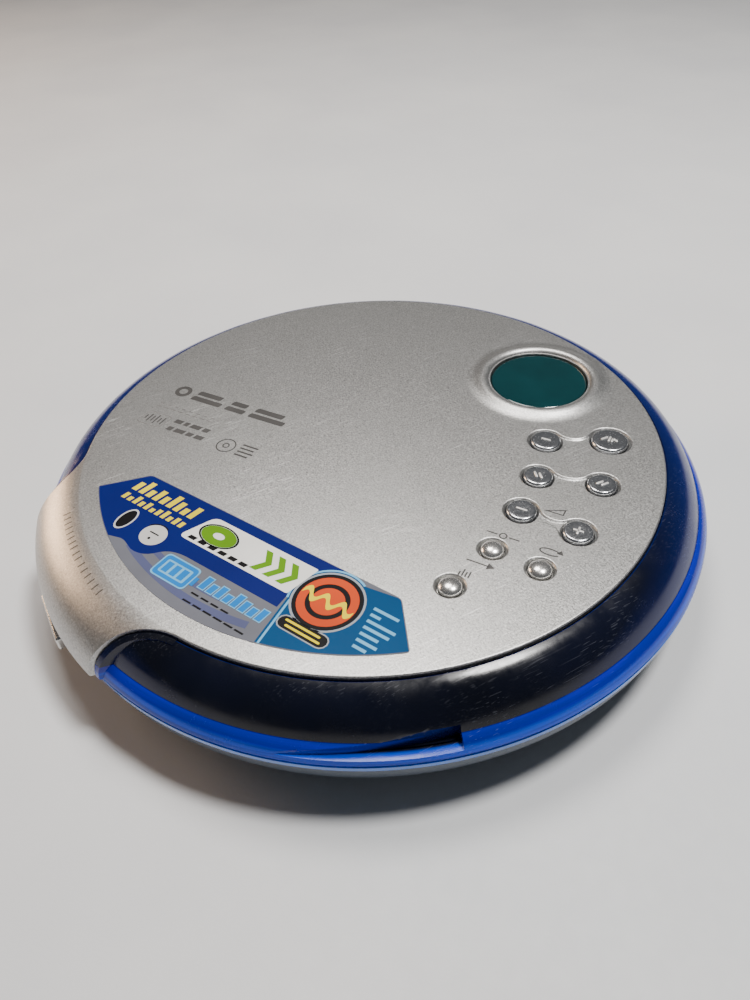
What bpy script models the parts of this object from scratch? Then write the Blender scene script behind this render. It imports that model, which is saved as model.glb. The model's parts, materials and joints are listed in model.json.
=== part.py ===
"""Portable CD player: hinged lid with nine keys and a display, disc bay, drive and battery bay.

The scene is in metres, +Z up. The origin is the centre of the underside, on the plane of the
feet. The opening side with the tab faces -Y and the hinge is at +Y. The values below are in
millimetres and degrees, and every shape is scaled by MM as it is made.
"""

import math

import bmesh
import bpy
from mathutils import Vector

MM = 0.001
GAP = 0.3  # clearance between neighbouring pieces

# Outline seen from above
SEAM_RADIUS = 69.0
COVER_RADIUS = 59.5
TAB_HALF_WIDTH = 23.2
TAB_FILLET = 6.5
TAB_RADIUS = 70.3  # outer face of the tab at its lower lip

# Levels
FLOOR_Z = 1.2
FLOOR_INSIDE_Z = 2.7
CASE_TOP_Z = 12.6
TRIM_HEIGHT = 1.0
DECK_TOP_Z = 13.7
RING_BOTTOM_Z = 14.2
DISC_SEAT_Z = 18.6
INNER_COVER_Z = 20.3
COVER_UNDER_Z = 23.2
COVER_TOP_Z = 24.2

# Bottom case
FLOOR_RADIUS = 53.0
CASE_RADIUS = 68.6
CASE_WALL = 1.5

# Hinge and latch
HINGE_Y = 66.8
HINGE_Z = 11.9
HINGE_RADIUS = 2.0
HINGE_PIN_RADIUS = 0.8
KNUCKLE_HALF = 9.0
LUG_WIDTH = 3.0
KNOB_FACE_Y = -70.9

# Display: a raised rim round the window
DISPLAY_X = 1.5
DISPLAY_Y = 42.9
WINDOW_RADIUS = 10.6
RIM_RADIUS = 13.1
RIM_FOOT_RADIUS = 16.3
RIM_TOP_Z = 25.2

# Keys: name -> (distance from the centre, angle, key radius, recess radius)
KEYS = {
    "stop": (36.4, 57.0, 3.06, 3.55),
    "play": (49.3, 57.1, 3.67, 4.2),
    "skip_back": (35.7, 38.6, 2.85, 3.3),
    "skip_forward": (47.8, 40.5, 2.85, 3.3),
    "volume_minus": (36.7, 21.8, 2.84, 3.3),
    "volume_plus": (47.9, 23.1, 2.8, 3.3),
    "memory_recall": (39.5, 4.7, 2.11, 2.58),
    "mode": (48.2, 8.9, 2.14, 2.56),
    "eq": (43.5, 349.5, 2.16, 2.62),
}
KEY_PAIRS = (("stop", "play"), ("skip_back", "skip_forward"), ("volume_minus", "volume_plus"))
DOMED_KEYS = ("memory_recall", "mode", "eq")
KEY_TOP_Z = 24.5
RECESS_Z = 23.85
CHANNEL_WIDTH = 1.2
CHANNEL_Z = 24.0

# Two AA cells, side by side along X
CELL_RADIUS = 7.25
CELL_LENGTH = 50.5
CELL_Z = 9.95
CELL_ROWS_Y = (-21.8, -36.8)
NUB_LENGTH = 1.0
BAY_HALF_LENGTH = 28.6
BAY_FRONT_Y = -44.4
BAY_BACK_Y = -14.2
BLISTER_TOP_Z = 18.1
DOOR_HALF_LENGTH = 28.0
DOOR_FRONT_Y = -43.8
DOOR_BACK_Y = -14.8
DOOR_THICKNESS = 1.2

# Drive
CHASSIS_Z = 10.6
CHASSIS_THICKNESS = 1.0
SLOT_HALF_WIDTH = 7.2
SLOT_START_Y = 13.5
SLOT_END_Y = 61.0
ROD_X = 17.0
ROD_Z = 7.6
ROD_RADIUS = 1.0
ROD_END_Y = 58.9
LENS_START_Y = 24.0
DAMPER_PLACES = ((-25.5, 2.0), (25.5, 2.0), (-25.5, 50.0), (25.5, 50.0))

# Fastening and standing
SCREW_RADIUS_PLACE = 56.0
SCREW_ANGLES = (20.0, 160.0, 270.0)
FEET_PLACES = ((-34.5, -34.0), (34.5, -34.0), (-34.5, 34.0), (34.5, 34.0))
FOOT_RADIUS = 4.0

# Side sockets on the -X side
SOCKET_Z = 7.6
HEADPHONE_Y = 9.0
INLET_Y = -9.0

MATERIALS = {
    # name: (colour, roughness, metallic, alpha)
    "silver_paint": ((0.62, 0.61, 0.59), 0.38, 0.75, 1.0),
    "clear_blue": ((0.01, 0.05, 0.55), 0.12, 0.0, 0.55),
    "light_blue": ((0.05, 0.25, 0.80), 0.25, 0.0, 0.8),
    "grey_case": ((0.33, 0.36, 0.40), 0.45, 0.3, 1.0),
    "window_green": ((0.0, 0.16, 0.16), 0.08, 0.0, 0.7),
    "lcd_grey": ((0.30, 0.36, 0.32), 0.4, 0.0, 1.0),
    "key_silver": ((0.66, 0.65, 0.62), 0.25, 0.85, 1.0),
    "dark_plastic": ((0.04, 0.04, 0.05), 0.5, 0.0, 1.0),
    "black_rubber": ((0.02, 0.02, 0.02), 0.8, 0.0, 1.0),
    "steel": ((0.70, 0.70, 0.72), 0.25, 1.0, 1.0),
    "nickel": ((0.75, 0.73, 0.68), 0.3, 1.0, 1.0),
    "board_green": ((0.02, 0.18, 0.08), 0.5, 0.0, 1.0),
    "cell_jacket": ((0.55, 0.42, 0.12), 0.35, 0.6, 1.0),
    "lens_glass": ((0.25, 0.35, 0.60), 0.05, 0.0, 0.6),
}


# ---------------------------------------------------------------- helpers


def clear_scene():
    for item in list(bpy.data.objects):
        bpy.data.objects.remove(item, do_unlink=True)


def new_collection(name):
    collection = bpy.data.collections.new(name)
    bpy.context.scene.collection.children.link(collection)
    return collection


def material(name):
    """The named material, made on first use."""
    if name in bpy.data.materials:
        return bpy.data.materials[name]
    colour, roughness, metallic, alpha = MATERIALS[name]
    made = bpy.data.materials.new(name)
    made.use_nodes = True
    shader = made.node_tree.nodes["Principled BSDF"]
    shader.inputs["Base Color"].default_value = (*colour, 1.0)
    shader.inputs["Roughness"].default_value = roughness
    shader.inputs["Metallic"].default_value = metallic
    shader.inputs["Alpha"].default_value = alpha
    made.diffuse_color = (*colour, alpha)
    return made


def object_from(bm, location=(0, 0, 0)):
    mesh = bpy.data.meshes.new("shape")
    bm.to_mesh(mesh)
    bm.free()
    mesh.shade_smooth()
    mesh.set_sharp_from_angle(angle=math.radians(35))
    made = bpy.data.objects.new("shape", mesh)
    made.location = Vector(location) * MM
    HELPERS.objects.link(made)
    return made


def box(low, high):
    bm = bmesh.new()
    bmesh.ops.create_cube(bm, size=MM)
    size = [b - a for a, b in zip(low, high)]
    bmesh.ops.scale(bm, vec=size, verts=bm.verts)
    return object_from(bm, [(a + b) / 2 for a, b in zip(low, high)])


def rod(start, end, radius, segments=24):
    """A cylinder from start to end."""
    start, end = Vector(start), Vector(end)
    bm = bmesh.new()
    bmesh.ops.create_cone(
        bm, cap_ends=True, segments=segments, radius1=radius * MM, radius2=radius * MM,
        depth=(end - start).length * MM,
    )
    made = object_from(bm, (start + end) / 2)
    made.rotation_mode = "QUATERNION"
    made.rotation_quaternion = (end - start).to_track_quat("Z", "Y")
    return made


def post(place, radius, low, high, segments=16):
    """An upright cylinder at a place (x, y)."""
    return rod((*place, low), (*place, high), radius, segments)


def turned(profile, segments=48, place=(0, 0), ring=False):
    """A turned solid. The profile is (radius, height) points and runs down its outer side.

    It starts and ends on the axis, or goes right round the section when ring is set.
    """
    mesh = bpy.data.meshes.new("shape")
    corners = [(radius * MM, 0, height * MM) for radius, height in profile]
    edges = [(n, n + 1) for n in range(len(corners) - 1)]
    if ring:
        edges.append((len(corners) - 1, 0))
    mesh.from_pydata(corners, edges, [])
    made = bpy.data.objects.new("shape", mesh)
    made.location = Vector((*place, 0)) * MM
    HELPERS.objects.link(made)
    screw = made.modifiers.new("Turn", "SCREW")
    screw.steps = segments
    screw.render_steps = segments
    screw.use_merge_vertices = True
    screw.merge_threshold = 0.00001
    screw.use_smooth_shade = True
    return made


def slab(outline, low, high):
    """A flat outline with a thickness, as a mesh that a Boolean can take."""
    curve = bpy.data.curves.new("shape", "CURVE")
    curve.dimensions = "2D"
    curve.fill_mode = "BOTH"
    curve.extrude = (high - low) / 2 * MM
    spline = curve.splines.new("POLY")
    spline.points.add(len(outline) - 1)
    for point, (x, y) in zip(spline.points, outline):
        point.co = (x * MM, y * MM, 0, 1)
    spline.use_cyclic_u = True
    flat = bpy.data.objects.new("shape", curve)
    flat.location.z = (low + high) / 2 * MM
    HELPERS.objects.link(flat)
    return as_mesh(flat)


def coil(start, end, radius_start, radius_end, turns, wire, points_a_turn=8):
    """A wire spring from start to end, which lie on a line along X."""
    curve = bpy.data.curves.new("shape", "CURVE")
    curve.dimensions = "3D"
    curve.bevel_depth = wire * MM
    curve.bevel_resolution = 1
    curve.use_fill_caps = True
    count = round(turns * points_a_turn) + 1
    spline = curve.splines.new("POLY")
    spline.points.add(count - 1)
    for n, point in enumerate(spline.points):
        along = n / (count - 1)
        angle = 2 * math.pi * turns * along
        radius = radius_start + (radius_end - radius_start) * along
        centre = Vector(start).lerp(Vector(end), along)
        turn = Vector((0, math.cos(angle), math.sin(angle)))
        point.co = (*((centre + radius * turn) * MM), 1)
    wound = bpy.data.objects.new("shape", curve)
    HELPERS.objects.link(wound)
    return as_mesh(wound)


def as_mesh(curve_object):
    """The curve object's solid as a mesh object with its caps welded."""
    bpy.context.view_layer.update()
    graph = bpy.context.evaluated_depsgraph_get()
    mesh = bpy.data.meshes.new_from_object(curve_object.evaluated_get(graph))
    bm = bmesh.new()
    bm.from_mesh(mesh)
    bmesh.ops.remove_doubles(bm, verts=bm.verts, dist=0.000001)
    bmesh.ops.recalc_face_normals(bm, faces=bm.faces)
    bm.to_mesh(mesh)
    bm.free()
    mesh.shade_smooth()
    mesh.set_sharp_from_angle(angle=math.radians(35))
    made = bpy.data.objects.new("shape", mesh)
    made.matrix_world = curve_object.matrix_world
    HELPERS.objects.link(made)
    bpy.data.objects.remove(curve_object)
    return made


def boolean(target, operation, tools):
    for tool in tools:
        tool.name = "tool"
        tool.hide_render = True
        tool.display_type = "WIRE"
        modifier = target.modifiers.new(operation.title(), "BOOLEAN")
        modifier.operation = operation
        modifier.solver = "EXACT"
        modifier.object = tool


def piece(name, surface, base, join=(), cut=(), keep=None, bore=()):
    """Names the base as a piece of the player: join, then keep, then cut, then bore."""
    HELPERS.objects.unlink(base)
    PARTS.objects.link(base)
    base.name = name
    base.data.name = name
    base.data.materials.append(material(surface))
    boolean(base, "UNION", join)
    boolean(base, "INTERSECT", [keep] if keep else [])
    boolean(base, "DIFFERENCE", [*cut, *bore])
    return base


def pivot(name, place, children):
    """Parents pieces to an empty that stands on their joint's axis."""
    empty = bpy.data.objects.new(name, None)
    empty.location = Vector(place) * MM
    empty.empty_display_size = 5 * MM
    PARTS.objects.link(empty)
    bpy.context.view_layer.update()
    for child in children:
        child.parent = empty
        child.matrix_parent_inverse = empty.matrix_world.inverted()
    return empty


def arc(centre, radii, start, end, steps):
    """Points of an elliptical arc, with its angles in degrees."""
    found = []
    for n in range(steps + 1):
        angle = math.radians(start + (end - start) * n / steps)
        x = centre[0] + radii[0] * math.cos(angle)
        found.append((x, centre[1] + radii[1] * math.sin(angle)))
    return found


def bend(start, corner, end, steps):
    """Points of a smooth curve that leaves start towards corner and arrives at end from it."""
    found = []
    for n in range(steps + 1):
        t = n / steps
        weights = ((1 - t) ** 2, 2 * t * (1 - t), t**2)
        points = (start, corner, end)
        found.append(tuple(sum(w * p[i] for w, p in zip(weights, points)) for i in (0, 1)))
    return found


def polar(distance, angle):
    return distance * math.cos(math.radians(angle)), distance * math.sin(math.radians(angle))


# ---------------------------------------------------------------- outlines


def cover_outline():
    """The round cover with its tab, which runs on past the front edge."""
    fillet_x = TAB_HALF_WIDTH + TAB_FILLET
    fillet_y = -math.sqrt((COVER_RADIUS + TAB_FILLET) ** 2 - fillet_x**2)
    turn = math.degrees(math.atan2(-fillet_y, fillet_x))
    beyond = -SEAM_RADIUS - 5
    disc = arc((0, 0), (COVER_RADIUS, COVER_RADIUS), -turn, 180 + turn, 60)
    left = arc((-fillet_x, fillet_y), (TAB_FILLET, TAB_FILLET), turn, 0, 6)
    right = arc((fillet_x, fillet_y), (TAB_FILLET, TAB_FILLET), 180, 180 - turn, 6)
    corners = [(-TAB_HALF_WIDTH, beyond), (TAB_HALF_WIDTH, beyond)]
    return disc + left[1:] + corners + right[:-1]


def tab_opening():
    """The gap in the ring that the tab fills, with clearance all round."""
    half = TAB_HALF_WIDTH + GAP
    fillet = TAB_FILLET - GAP
    fillet_x = half + fillet
    fillet_y = -math.sqrt((COVER_RADIUS + TAB_FILLET) ** 2 - fillet_x**2)
    turn = math.degrees(math.atan2(-fillet_y, fillet_x))
    beyond = -SEAM_RADIUS - 5
    inner = arc((0, 0), (COVER_RADIUS - 1.5, COVER_RADIUS - 1.5), 180 + turn, 360 - turn, 20)
    right = arc((fillet_x, fillet_y), (fillet, fillet), 180 - turn, 180, 6)
    left = arc((-fillet_x, fillet_y), (fillet, fillet), 0, turn, 6)
    return inner + right + [(half, beyond), (-half, beyond)] + left


def channel(first, second):
    """A narrow groove between the two recesses of a key pair."""
    start = Vector(polar(*KEYS[first][:2]))
    end = Vector(polar(*KEYS[second][:2]))
    side = (end - start).normalized().orthogonal() * CHANNEL_WIDTH / 2
    return [tuple(start + side), tuple(start - side), tuple(end - side), tuple(end + side)]


# ---------------------------------------------------------------- base


def case_profile(radius, bottom, steps=6):
    """The side of the case, from the top rim down to the flat floor."""
    size = (radius - FLOOR_RADIUS, CASE_TOP_Z - bottom)
    return arc((FLOOR_RADIUS, CASE_TOP_Z), size, 0, -90, steps)


def hinge_relief():
    half = KNUCKLE_HALF * 2 + 0.5
    return rod((-half, HINGE_Y, HINGE_Z), (half, HINGE_Y, HINGE_Z), 3.6, 20)


def build_case():
    outside = case_profile(CASE_RADIUS, FLOOR_Z)
    inside = case_profile(CASE_RADIUS - CASE_WALL, FLOOR_INSIDE_Z)[::-1]
    shell = turned([(0, FLOOR_INSIDE_Z), *inside, *outside, (0, FLOOR_Z)])
    wall = 0.9
    low, high = FLOOR_INSIDE_Z - 0.5, CASE_TOP_Z - GAP
    bay_half = BAY_HALF_LENGTH + wall
    bay_wall = box((-bay_half, BAY_FRONT_Y - wall, low), (bay_half, BAY_BACK_Y + wall, high))
    bay = box((-BAY_HALF_LENGTH, BAY_FRONT_Y, FLOOR_INSIDE_Z), (BAY_HALF_LENGTH, BAY_BACK_Y, high + 1))
    door_half = DOOR_HALF_LENGTH + GAP
    doorway = box((-door_half, DOOR_FRONT_Y - GAP, 0), (door_half, DOOR_BACK_Y + GAP, 4))
    screws = [polar(SCREW_RADIUS_PLACE, angle) for angle in SCREW_ANGLES]
    posts = [post(place, 3.2, low, 7.7) for place in screws]
    for place in DAMPER_PLACES:
        posts.append(post(place, 3.0, low, 7.9))
        posts.append(post(place, 1.2, 7.0, 12.0))
    spring_seat = box((12.8, -63.8, 6.6), (13.8, -61.2, 12.2))
    lugs = []
    for side in (-1, 1):
        inner = side * (KNUCKLE_HALF + 0.4)
        outer = inner + side * LUG_WIDTH
        lugs.append(rod((inner, HINGE_Y, HINGE_Z), (outer, HINGE_Y, HINGE_Z), HINGE_RADIUS))
        low_x, high_x = sorted((inner, outer))
        lugs.append(box((low_x, HINGE_Y - 1.9, 7.9), (high_x, HINGE_Y - 0.8, HINGE_Z)))
    holes = [post(place, 1.3, 0, 9) for place in screws]
    holes += [post(place, 2.5, 0, 4.2) for place in screws]
    holes += [post(place, FOOT_RADIUS + GAP, 0, FLOOR_Z + 0.6) for place in FEET_PLACES]
    holes.append(rod((-72, HEADPHONE_Y, SOCKET_Z), (-58, HEADPHONE_Y, SOCKET_Z), 2.9))
    holes.append(rod((-72, INLET_Y, SOCKET_Z), (-58, INLET_Y, SOCKET_Z), 3.5))
    holes.append(box((-72, -2.4, 7.1), (-62, 4.4, 9.5)))
    holes.append(box((-5.5, -72, 8.9), (8.5, -65.0, 11.1)))
    pin_hole = rod((-20, HINGE_Y, HINGE_Z), (20, HINGE_Y, HINGE_Z), HINGE_PIN_RADIUS + GAP)
    case = piece(
        "bottom_case", "grey_case", shell, join=[bay_wall, spring_seat, *posts],
        cut=[bay, doorway, hinge_relief(), *holes],
    )
    boolean(case, "UNION", lugs)
    boolean(case, "DIFFERENCE", [pin_hole])


def build_trim():
    low = CASE_TOP_Z + GAP
    high = low + TRIM_HEIGHT
    inner = CASE_RADIUS - CASE_WALL + 0.1
    section = [(inner, high), (SEAM_RADIUS, high), (SEAM_RADIUS, low), (inner, low)]
    piece("base_trim_ring", "light_blue", turned(section, ring=True), cut=[hinge_relief()])


def build_deck():
    low = DECK_TOP_Z - 1.1
    plate = turned([(0, DECK_TOP_Z), (66.8, DECK_TOP_Z), (66.8, low), (0, low)])
    wall = 1.0
    clearance = 1.6
    half = BAY_HALF_LENGTH + clearance
    front, back = BAY_FRONT_Y - 0.6, BAY_BACK_Y + 0.3
    blister = box((-half - wall, front - wall, low + 0.4), (half + wall, back + wall, BLISTER_TOP_Z))
    hollow = box((-half, front, low - 1), (half, back, BLISTER_TOP_Z - 0.6))
    bosses = [post(polar(SCREW_RADIUS_PLACE, angle), 3.0, 8.0, low + 0.6) for angle in SCREW_ANGLES]
    holes = [post(polar(SCREW_RADIUS_PLACE, angle), 1.3, 7.0, 12.9) for angle in SCREW_ANGLES]
    holes.append(post((0, 0), 12.2, 5, 25, 30))
    holes.append(box((-SLOT_HALF_WIDTH, SLOT_START_Y, 5), (SLOT_HALF_WIDTH, SLOT_END_Y, 25)))
    holes.append(box((-KNUCKLE_HALF - 0.4, 60.3, 5), (KNUCKLE_HALF + 0.4, 72, 25)))
    holes.append(box((-3.8, -64.4, 5), (3.2, -61.2, 25)))
    holes.append(hinge_relief())
    piece("disc_deck", "dark_plastic", plate, join=[blister, *bosses], cut=[hollow, *holes])


def build_feet_and_screws():
    for n, place in enumerate(FEET_PLACES, 1):
        piece(f"foot_{n}", "black_rubber", post(place, FOOT_RADIUS, 0, FLOOR_Z + GAP))
    for n, angle in enumerate(SCREW_ANGLES, 1):
        place = polar(SCREW_RADIUS_PLACE, angle)
        shaft = post(place, 1.0, 3.0, 12.6, 16)
        head = post(place, 2.1, 2.2, 3.9, 16)
        piece(f"case_screw_{n}", "steel", head, join=[shaft])


# ---------------------------------------------------------------- hinge and latch


def build_hinge_pins():
    for name, side in (("left", -1), ("right", 1)):
        start = (side * 5.0, HINGE_Y, HINGE_Z)
        end = (side * (KNUCKLE_HALF + 0.4 + LUG_WIDTH - 0.2), HINGE_Y, HINGE_Z)
        piece(f"hinge_pin_{name}", "steel", rod(start, end, HINGE_PIN_RADIUS, 16))


def build_knuckle():
    barrel = rod((-KNUCKLE_HALF, HINGE_Y, HINGE_Z), (KNUCKLE_HALF, HINGE_Y, HINGE_Z), HINGE_RADIUS)
    web = box((-8, 60.7, 12.2), (8, HINGE_Y - 0.6, 13.4))
    upright = box((-8, 60.7, 12.2), (8, 61.9, INNER_COVER_Z - 0.2))
    bores = []
    for side in (-1, 1):
        start = (side * 4.6, HINGE_Y, HINGE_Z)
        bores.append(rod(start, (side * 10, HINGE_Y, HINGE_Z), HINGE_PIN_RADIUS + GAP))
    return piece("hinge_knuckle", "clear_blue", barrel, join=[web, upright], cut=bores)


def build_latch():
    knob = box((-6, KNOB_FACE_Y, 8.4), (7, -CASE_RADIUS - 0.25, 11.6))
    knob_bevel = knob.modifiers.new("Soft edges", "BEVEL")
    knob_bevel.width = 0.35 * MM
    knob_bevel.segments = 2
    stem = box((-2.2, -SEAM_RADIUS, 9.2), (2.2, -64.2, 10.8))
    plate = box((-7, -64.9, 9.4), (7, -64.1, 11.9))
    tongue = box((2.9, -64.5, 10.7), (6.5, -61.8, 11.9))
    slider = piece("open_slider", "key_silver", knob, join=[stem, plate, tongue])
    pivot("open_slider_axis", (0, -SEAM_RADIUS, 10), [slider])
    spring = coil((7.0, -62.7, 11.1), (12.3, -62.7, 11.1), 0.9, 0.9, 4, 0.2)
    piece("latch_spring", "steel", spring)
    hook = box((-3, -63.8, 8.6), (1, -61.8, INNER_COVER_Z - 0.2))
    toe = box((0.5, -63.8, 8.6), (2.6, -61.8, 9.9))
    return piece("lid_hook", "dark_plastic", hook, join=[toe])


# ---------------------------------------------------------------- power


def build_power():
    for n, (row, side) in enumerate(zip(CELL_ROWS_Y, (1, -1)), 1):
        half = CELL_LENGTH / 2
        shoulder = (side * (half - NUB_LENGTH), row, CELL_Z)
        jacket = rod((-side * half, row, CELL_Z), shoulder, CELL_RADIUS, 32)
        nub = rod((side * (half - 2), row, CELL_Z), (side * half, row, CELL_Z), 2.75)
        piece(f"battery_cell_{n}", "cell_jacket", jacket, join=[nub])
        spring_start = (-side * (half + 0.45), row, CELL_Z)
        spring_end = (-side * (BAY_HALF_LENGTH - 0.65), row, CELL_Z)
        piece(f"battery_spring_{n}", "nickel", coil(spring_start, spring_end, 2.2, 4.0, 2.5, 0.25))
        low_x, high_x = sorted((side * (half + GAP), side * (half + 1.0)))
        plate = box((low_x, row - 4, CELL_Z - 4), (high_x, row + 4, CELL_Z + 4))
        piece(f"battery_contact_{n}", "nickel", plate)
    inside_z = FLOOR_Z + DOOR_THICKNESS
    door = box((-DOOR_HALF_LENGTH, DOOR_FRONT_Y, FLOOR_Z), (DOOR_HALF_LENGTH, DOOR_BACK_Y, inside_z))
    grips = [box((-6, y, 0.9), (6, y + 0.6, FLOOR_Z + 0.4)) for y in (-42.2, -41.0, -39.8)]
    cover = piece("battery_door", "grey_case", door, cut=grips)
    pivot("battery_door_axis", (0, DOOR_BACK_Y - 0.8, FLOOR_Z + DOOR_THICKNESS / 2), [cover])


# ---------------------------------------------------------------- drive


def build_spindle():
    bottom, top = 5.0, CHASSIS_Z - GAP
    bore = ROD_RADIUS + GAP
    can = [(0, 5.6), (bore, 5.6), (bore, top), (10.2, top), (11, top - 0.8), (11, bottom), (0, bottom)]
    piece("spindle_motor", "steel", turned(can, 28))
    shaft = piece("spindle_shaft", "steel", post((0, 0), ROD_RADIUS, 5.9, 19.8, 16))
    hub_top = DISC_SEAT_Z + 2.0
    under = DISC_SEAT_Z - 1.3
    groove = DISC_SEAT_Z - 0.4
    hub = [
        (0, hub_top), (6.4, hub_top), (7.3, hub_top - 0.8), (7.3, groove), (8.0, groove),
        (8.0, DISC_SEAT_Z), (11.5, DISC_SEAT_Z), (11.5, under), (4.5, under), (4.5, 12.4),
        (bore, 12.4), (bore, hub_top - 0.5), (0, hub_top - 0.5),
    ]
    table = piece("turntable", "dark_plastic", turned(hub, 28))
    pivot("spindle_axis", (0, 0, DISC_SEAT_Z), [shaft, table])


def build_chassis():
    top = CHASSIS_Z + CHASSIS_THICKNESS
    plate = box((-22.5, -12.0, CHASSIS_Z), (22.5, 62.2, top))
    ears = [post(place, 4.0, CHASSIS_Z, top) for place in DAMPER_PLACES]
    tabs = []
    for x in (-ROD_X, ROD_X):
        tabs.append(box((x - 2.2, 12.8, 5.6), (x + 2.2, 13.6, CHASSIS_Z + 0.5)))
        tabs.append(box((x - 2.2, 57.6, 5.6), (x + 2.2, 58.6, CHASSIS_Z + 0.5)))
    holes = [post(place, 1.7, 9, 13) for place in DAMPER_PLACES]
    holes.append(post((0, 0), 5.0, 9, 13, 32))
    holes.append(box((-SLOT_HALF_WIDTH, SLOT_START_Y, 9), (SLOT_HALF_WIDTH, SLOT_END_Y, 13)))
    for x in (-ROD_X, ROD_X):
        holes.append(rod((x, 10, ROD_Z), (x, 62, ROD_Z), ROD_RADIUS + GAP, 16))
    piece("mech_chassis", "steel", plate, join=[*ears, *tabs], cut=holes)
    for n, place in enumerate(DAMPER_PLACES, 1):
        section = [(1.5, 10.3), (3.0, 10.3), (3.0, 8.2), (1.5, 8.2)]
        piece(f"damper_{n}", "black_rubber", turned(section, 20, place, ring=True))


def build_pickup():
    back = LENS_START_Y - 10.0
    block = box((-12, back, 5.4), (12, LENS_START_Y + 2.8, CHASSIS_Z - 0.4))
    arms = box((-20, back, 5.6), (20, back + 8, 9.6))
    actuator = box((-6.5, LENS_START_Y - 5.5, 9), (6.5, LENS_START_Y + 2.5, 15.8))
    bores = []
    for x in (-ROD_X, ROD_X):
        bores.append(rod((x, back - 2, ROD_Z), (x, back + 12, ROD_Z), ROD_RADIUS + GAP, 16))
    well = post((0, LENS_START_Y - 0.8), 2.4, 14.4, 17)
    sled = piece("pickup_sled", "dark_plastic", block, join=[arms, actuator], cut=[*bores, well])
    lens_profile = [(0, 16.9), (0.9, 16.8), (1.6, 16.5), (2.0, 16.1), (2.0, 14.7), (0, 14.7)]
    lens = piece("objective_lens", "lens_glass", turned(lens_profile, 24, (0, LENS_START_Y - 0.8)))
    pivot("pickup_axis", (0, LENS_START_Y, ROD_Z), [sled, lens])
    guide = rod((ROD_X, 12.2, ROD_Z), (ROD_X, ROD_END_Y, ROD_Z), ROD_RADIUS, 16)
    piece("guide_rod", "steel", guide)
    thread = rod((-ROD_X, 9.3, ROD_Z), (-ROD_X, ROD_END_Y, ROD_Z), ROD_RADIUS, 16)
    screw = piece("lead_screw", "steel", thread)
    pivot("lead_screw_axis", (-ROD_X, 12, ROD_Z), [screw])
    motor = rod((-ROD_X, 0.5, ROD_Z), (-ROD_X, 12.5, ROD_Z), 2.8)
    bore = rod((-ROD_X, 9.0, ROD_Z), (-ROD_X, 14, ROD_Z), ROD_RADIUS + GAP, 16)
    piece("sled_motor", "steel", motor, cut=[bore])


# ---------------------------------------------------------------- electronics and sockets


def build_electronics():
    low, high = 3.3, 4.3
    board = turned([(0, high), (57.0, high), (57.0, low), (0, low)])
    cuts = [box((-80, -80, 0), (80, -12.6, 10))]
    cuts += [post(place, 3.5, 2, 6) for place in DAMPER_PLACES]
    cuts += [post(polar(SCREW_RADIUS_PLACE, angle), 3.7, 2, 6) for angle in SCREW_ANGLES[:2]]
    chips = [box((30, 10, high - 0.5), (42, 22, high + 1.2))]
    chips.append(box((-46, 26, high - 0.5), (-36, 34, high + 1.4)))
    chips.append(post((38, 32), 3.2, high - 0.5, high + 4))
    chips.append(post((45, -4), 2.5, high - 0.5, high + 5))
    piece("main_board", "board_green", board, join=chips, cut=cuts)
    sockets = (("headphone_jack", HEADPHONE_Y, 2.6, 1.8), ("dc_inlet", INLET_Y, 3.2, 2.1))
    for name, y, nose, bore in sockets:
        half = nose + 0.9
        body = box((-58.8, y - half, 4.6), (-49, y + half, 10.6))
        spout = rod((-66.0, y, SOCKET_Z), (-58, y, SOCKET_Z), nose)
        hole = rod((-70, y, SOCKET_Z), (-53.5, y, SOCKET_Z), bore, 20)
        piece(name, "dark_plastic", body, join=[spout], cut=[hole])
    stem = box((-68.7, -2, 7.4), (-64, 1.5, 9.2))
    flange = box((-64.3, -3.8, 7.3), (-63.4, 3.3, 9.5))
    hold = piece("hold_switch", "grey_case", stem, join=[flange])
    pivot("hold_switch_axis", (-66, 0, 8.3), [hold])
    switch = box((-23.4, -60.6, DECK_TOP_Z + GAP), (-20.4, -57.6, DECK_TOP_Z + 2.2))
    plunger = post((-21.9, -59.1), 0.7, DECK_TOP_Z + 1, DECK_TOP_Z + 3.6, 12)
    piece("lid_switch", "dark_plastic", switch, join=[plunger])


# ---------------------------------------------------------------- lid


def build_cover():
    """The cover is a dome section, kept where the disc and tab outline covers it."""
    corner = 58.0
    drop = COVER_TOP_Z - RING_BOTTOM_Z
    outside = arc((corner, RING_BOTTOM_Z), (TAB_RADIUS - corner, drop), 90, 0, 7)
    inside = arc((corner, RING_BOTTOM_Z), (TAB_RADIUS - corner - 1.1, drop - 1.0), 0, 90, 6)
    dome = turned([(0, COVER_TOP_Z), *outside, *inside, (0, COVER_UNDER_Z)])
    display = (DISPLAY_X, DISPLAY_Y)
    foot_z = COVER_TOP_Z - 0.2
    crest, foot = RIM_RADIUS, RIM_FOOT_RADIUS
    rim = [
        (0, RIM_TOP_Z - 0.6), (crest - 1.6, RIM_TOP_Z - 0.6), (crest - 0.6, RIM_TOP_Z - 0.05),
        (crest, RIM_TOP_Z), (crest + 1.0, RIM_TOP_Z - 0.25), (foot - 0.8, COVER_TOP_Z + 0.15),
        (foot, COVER_TOP_Z - 0.05), (foot, foot_z), (0, foot_z),
    ]
    opening = WINDOW_RADIUS + GAP
    window = [(0, 26), (crest - 0.9, 26), (opening, 24.2), (opening, 22), (0, 22)]
    cuts = [turned(window, 36, display)]
    for distance, angle, radius, recess in KEYS.values():
        place = polar(distance, angle)
        cuts.append(post(place, recess, RECESS_Z, 26, 20))
        cuts.append(post(place, radius + 0.25, 22, 26, 20))
    for first, second in KEY_PAIRS:
        cuts.append(slab(channel(first, second), CHANNEL_Z, 26))
    outline = slab(cover_outline(), 10, 30)
    crater = turned(rim, 36, display)
    return piece("lid_cover", "silver_paint", dome, join=[crater], keep=outline, cut=cuts)


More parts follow.
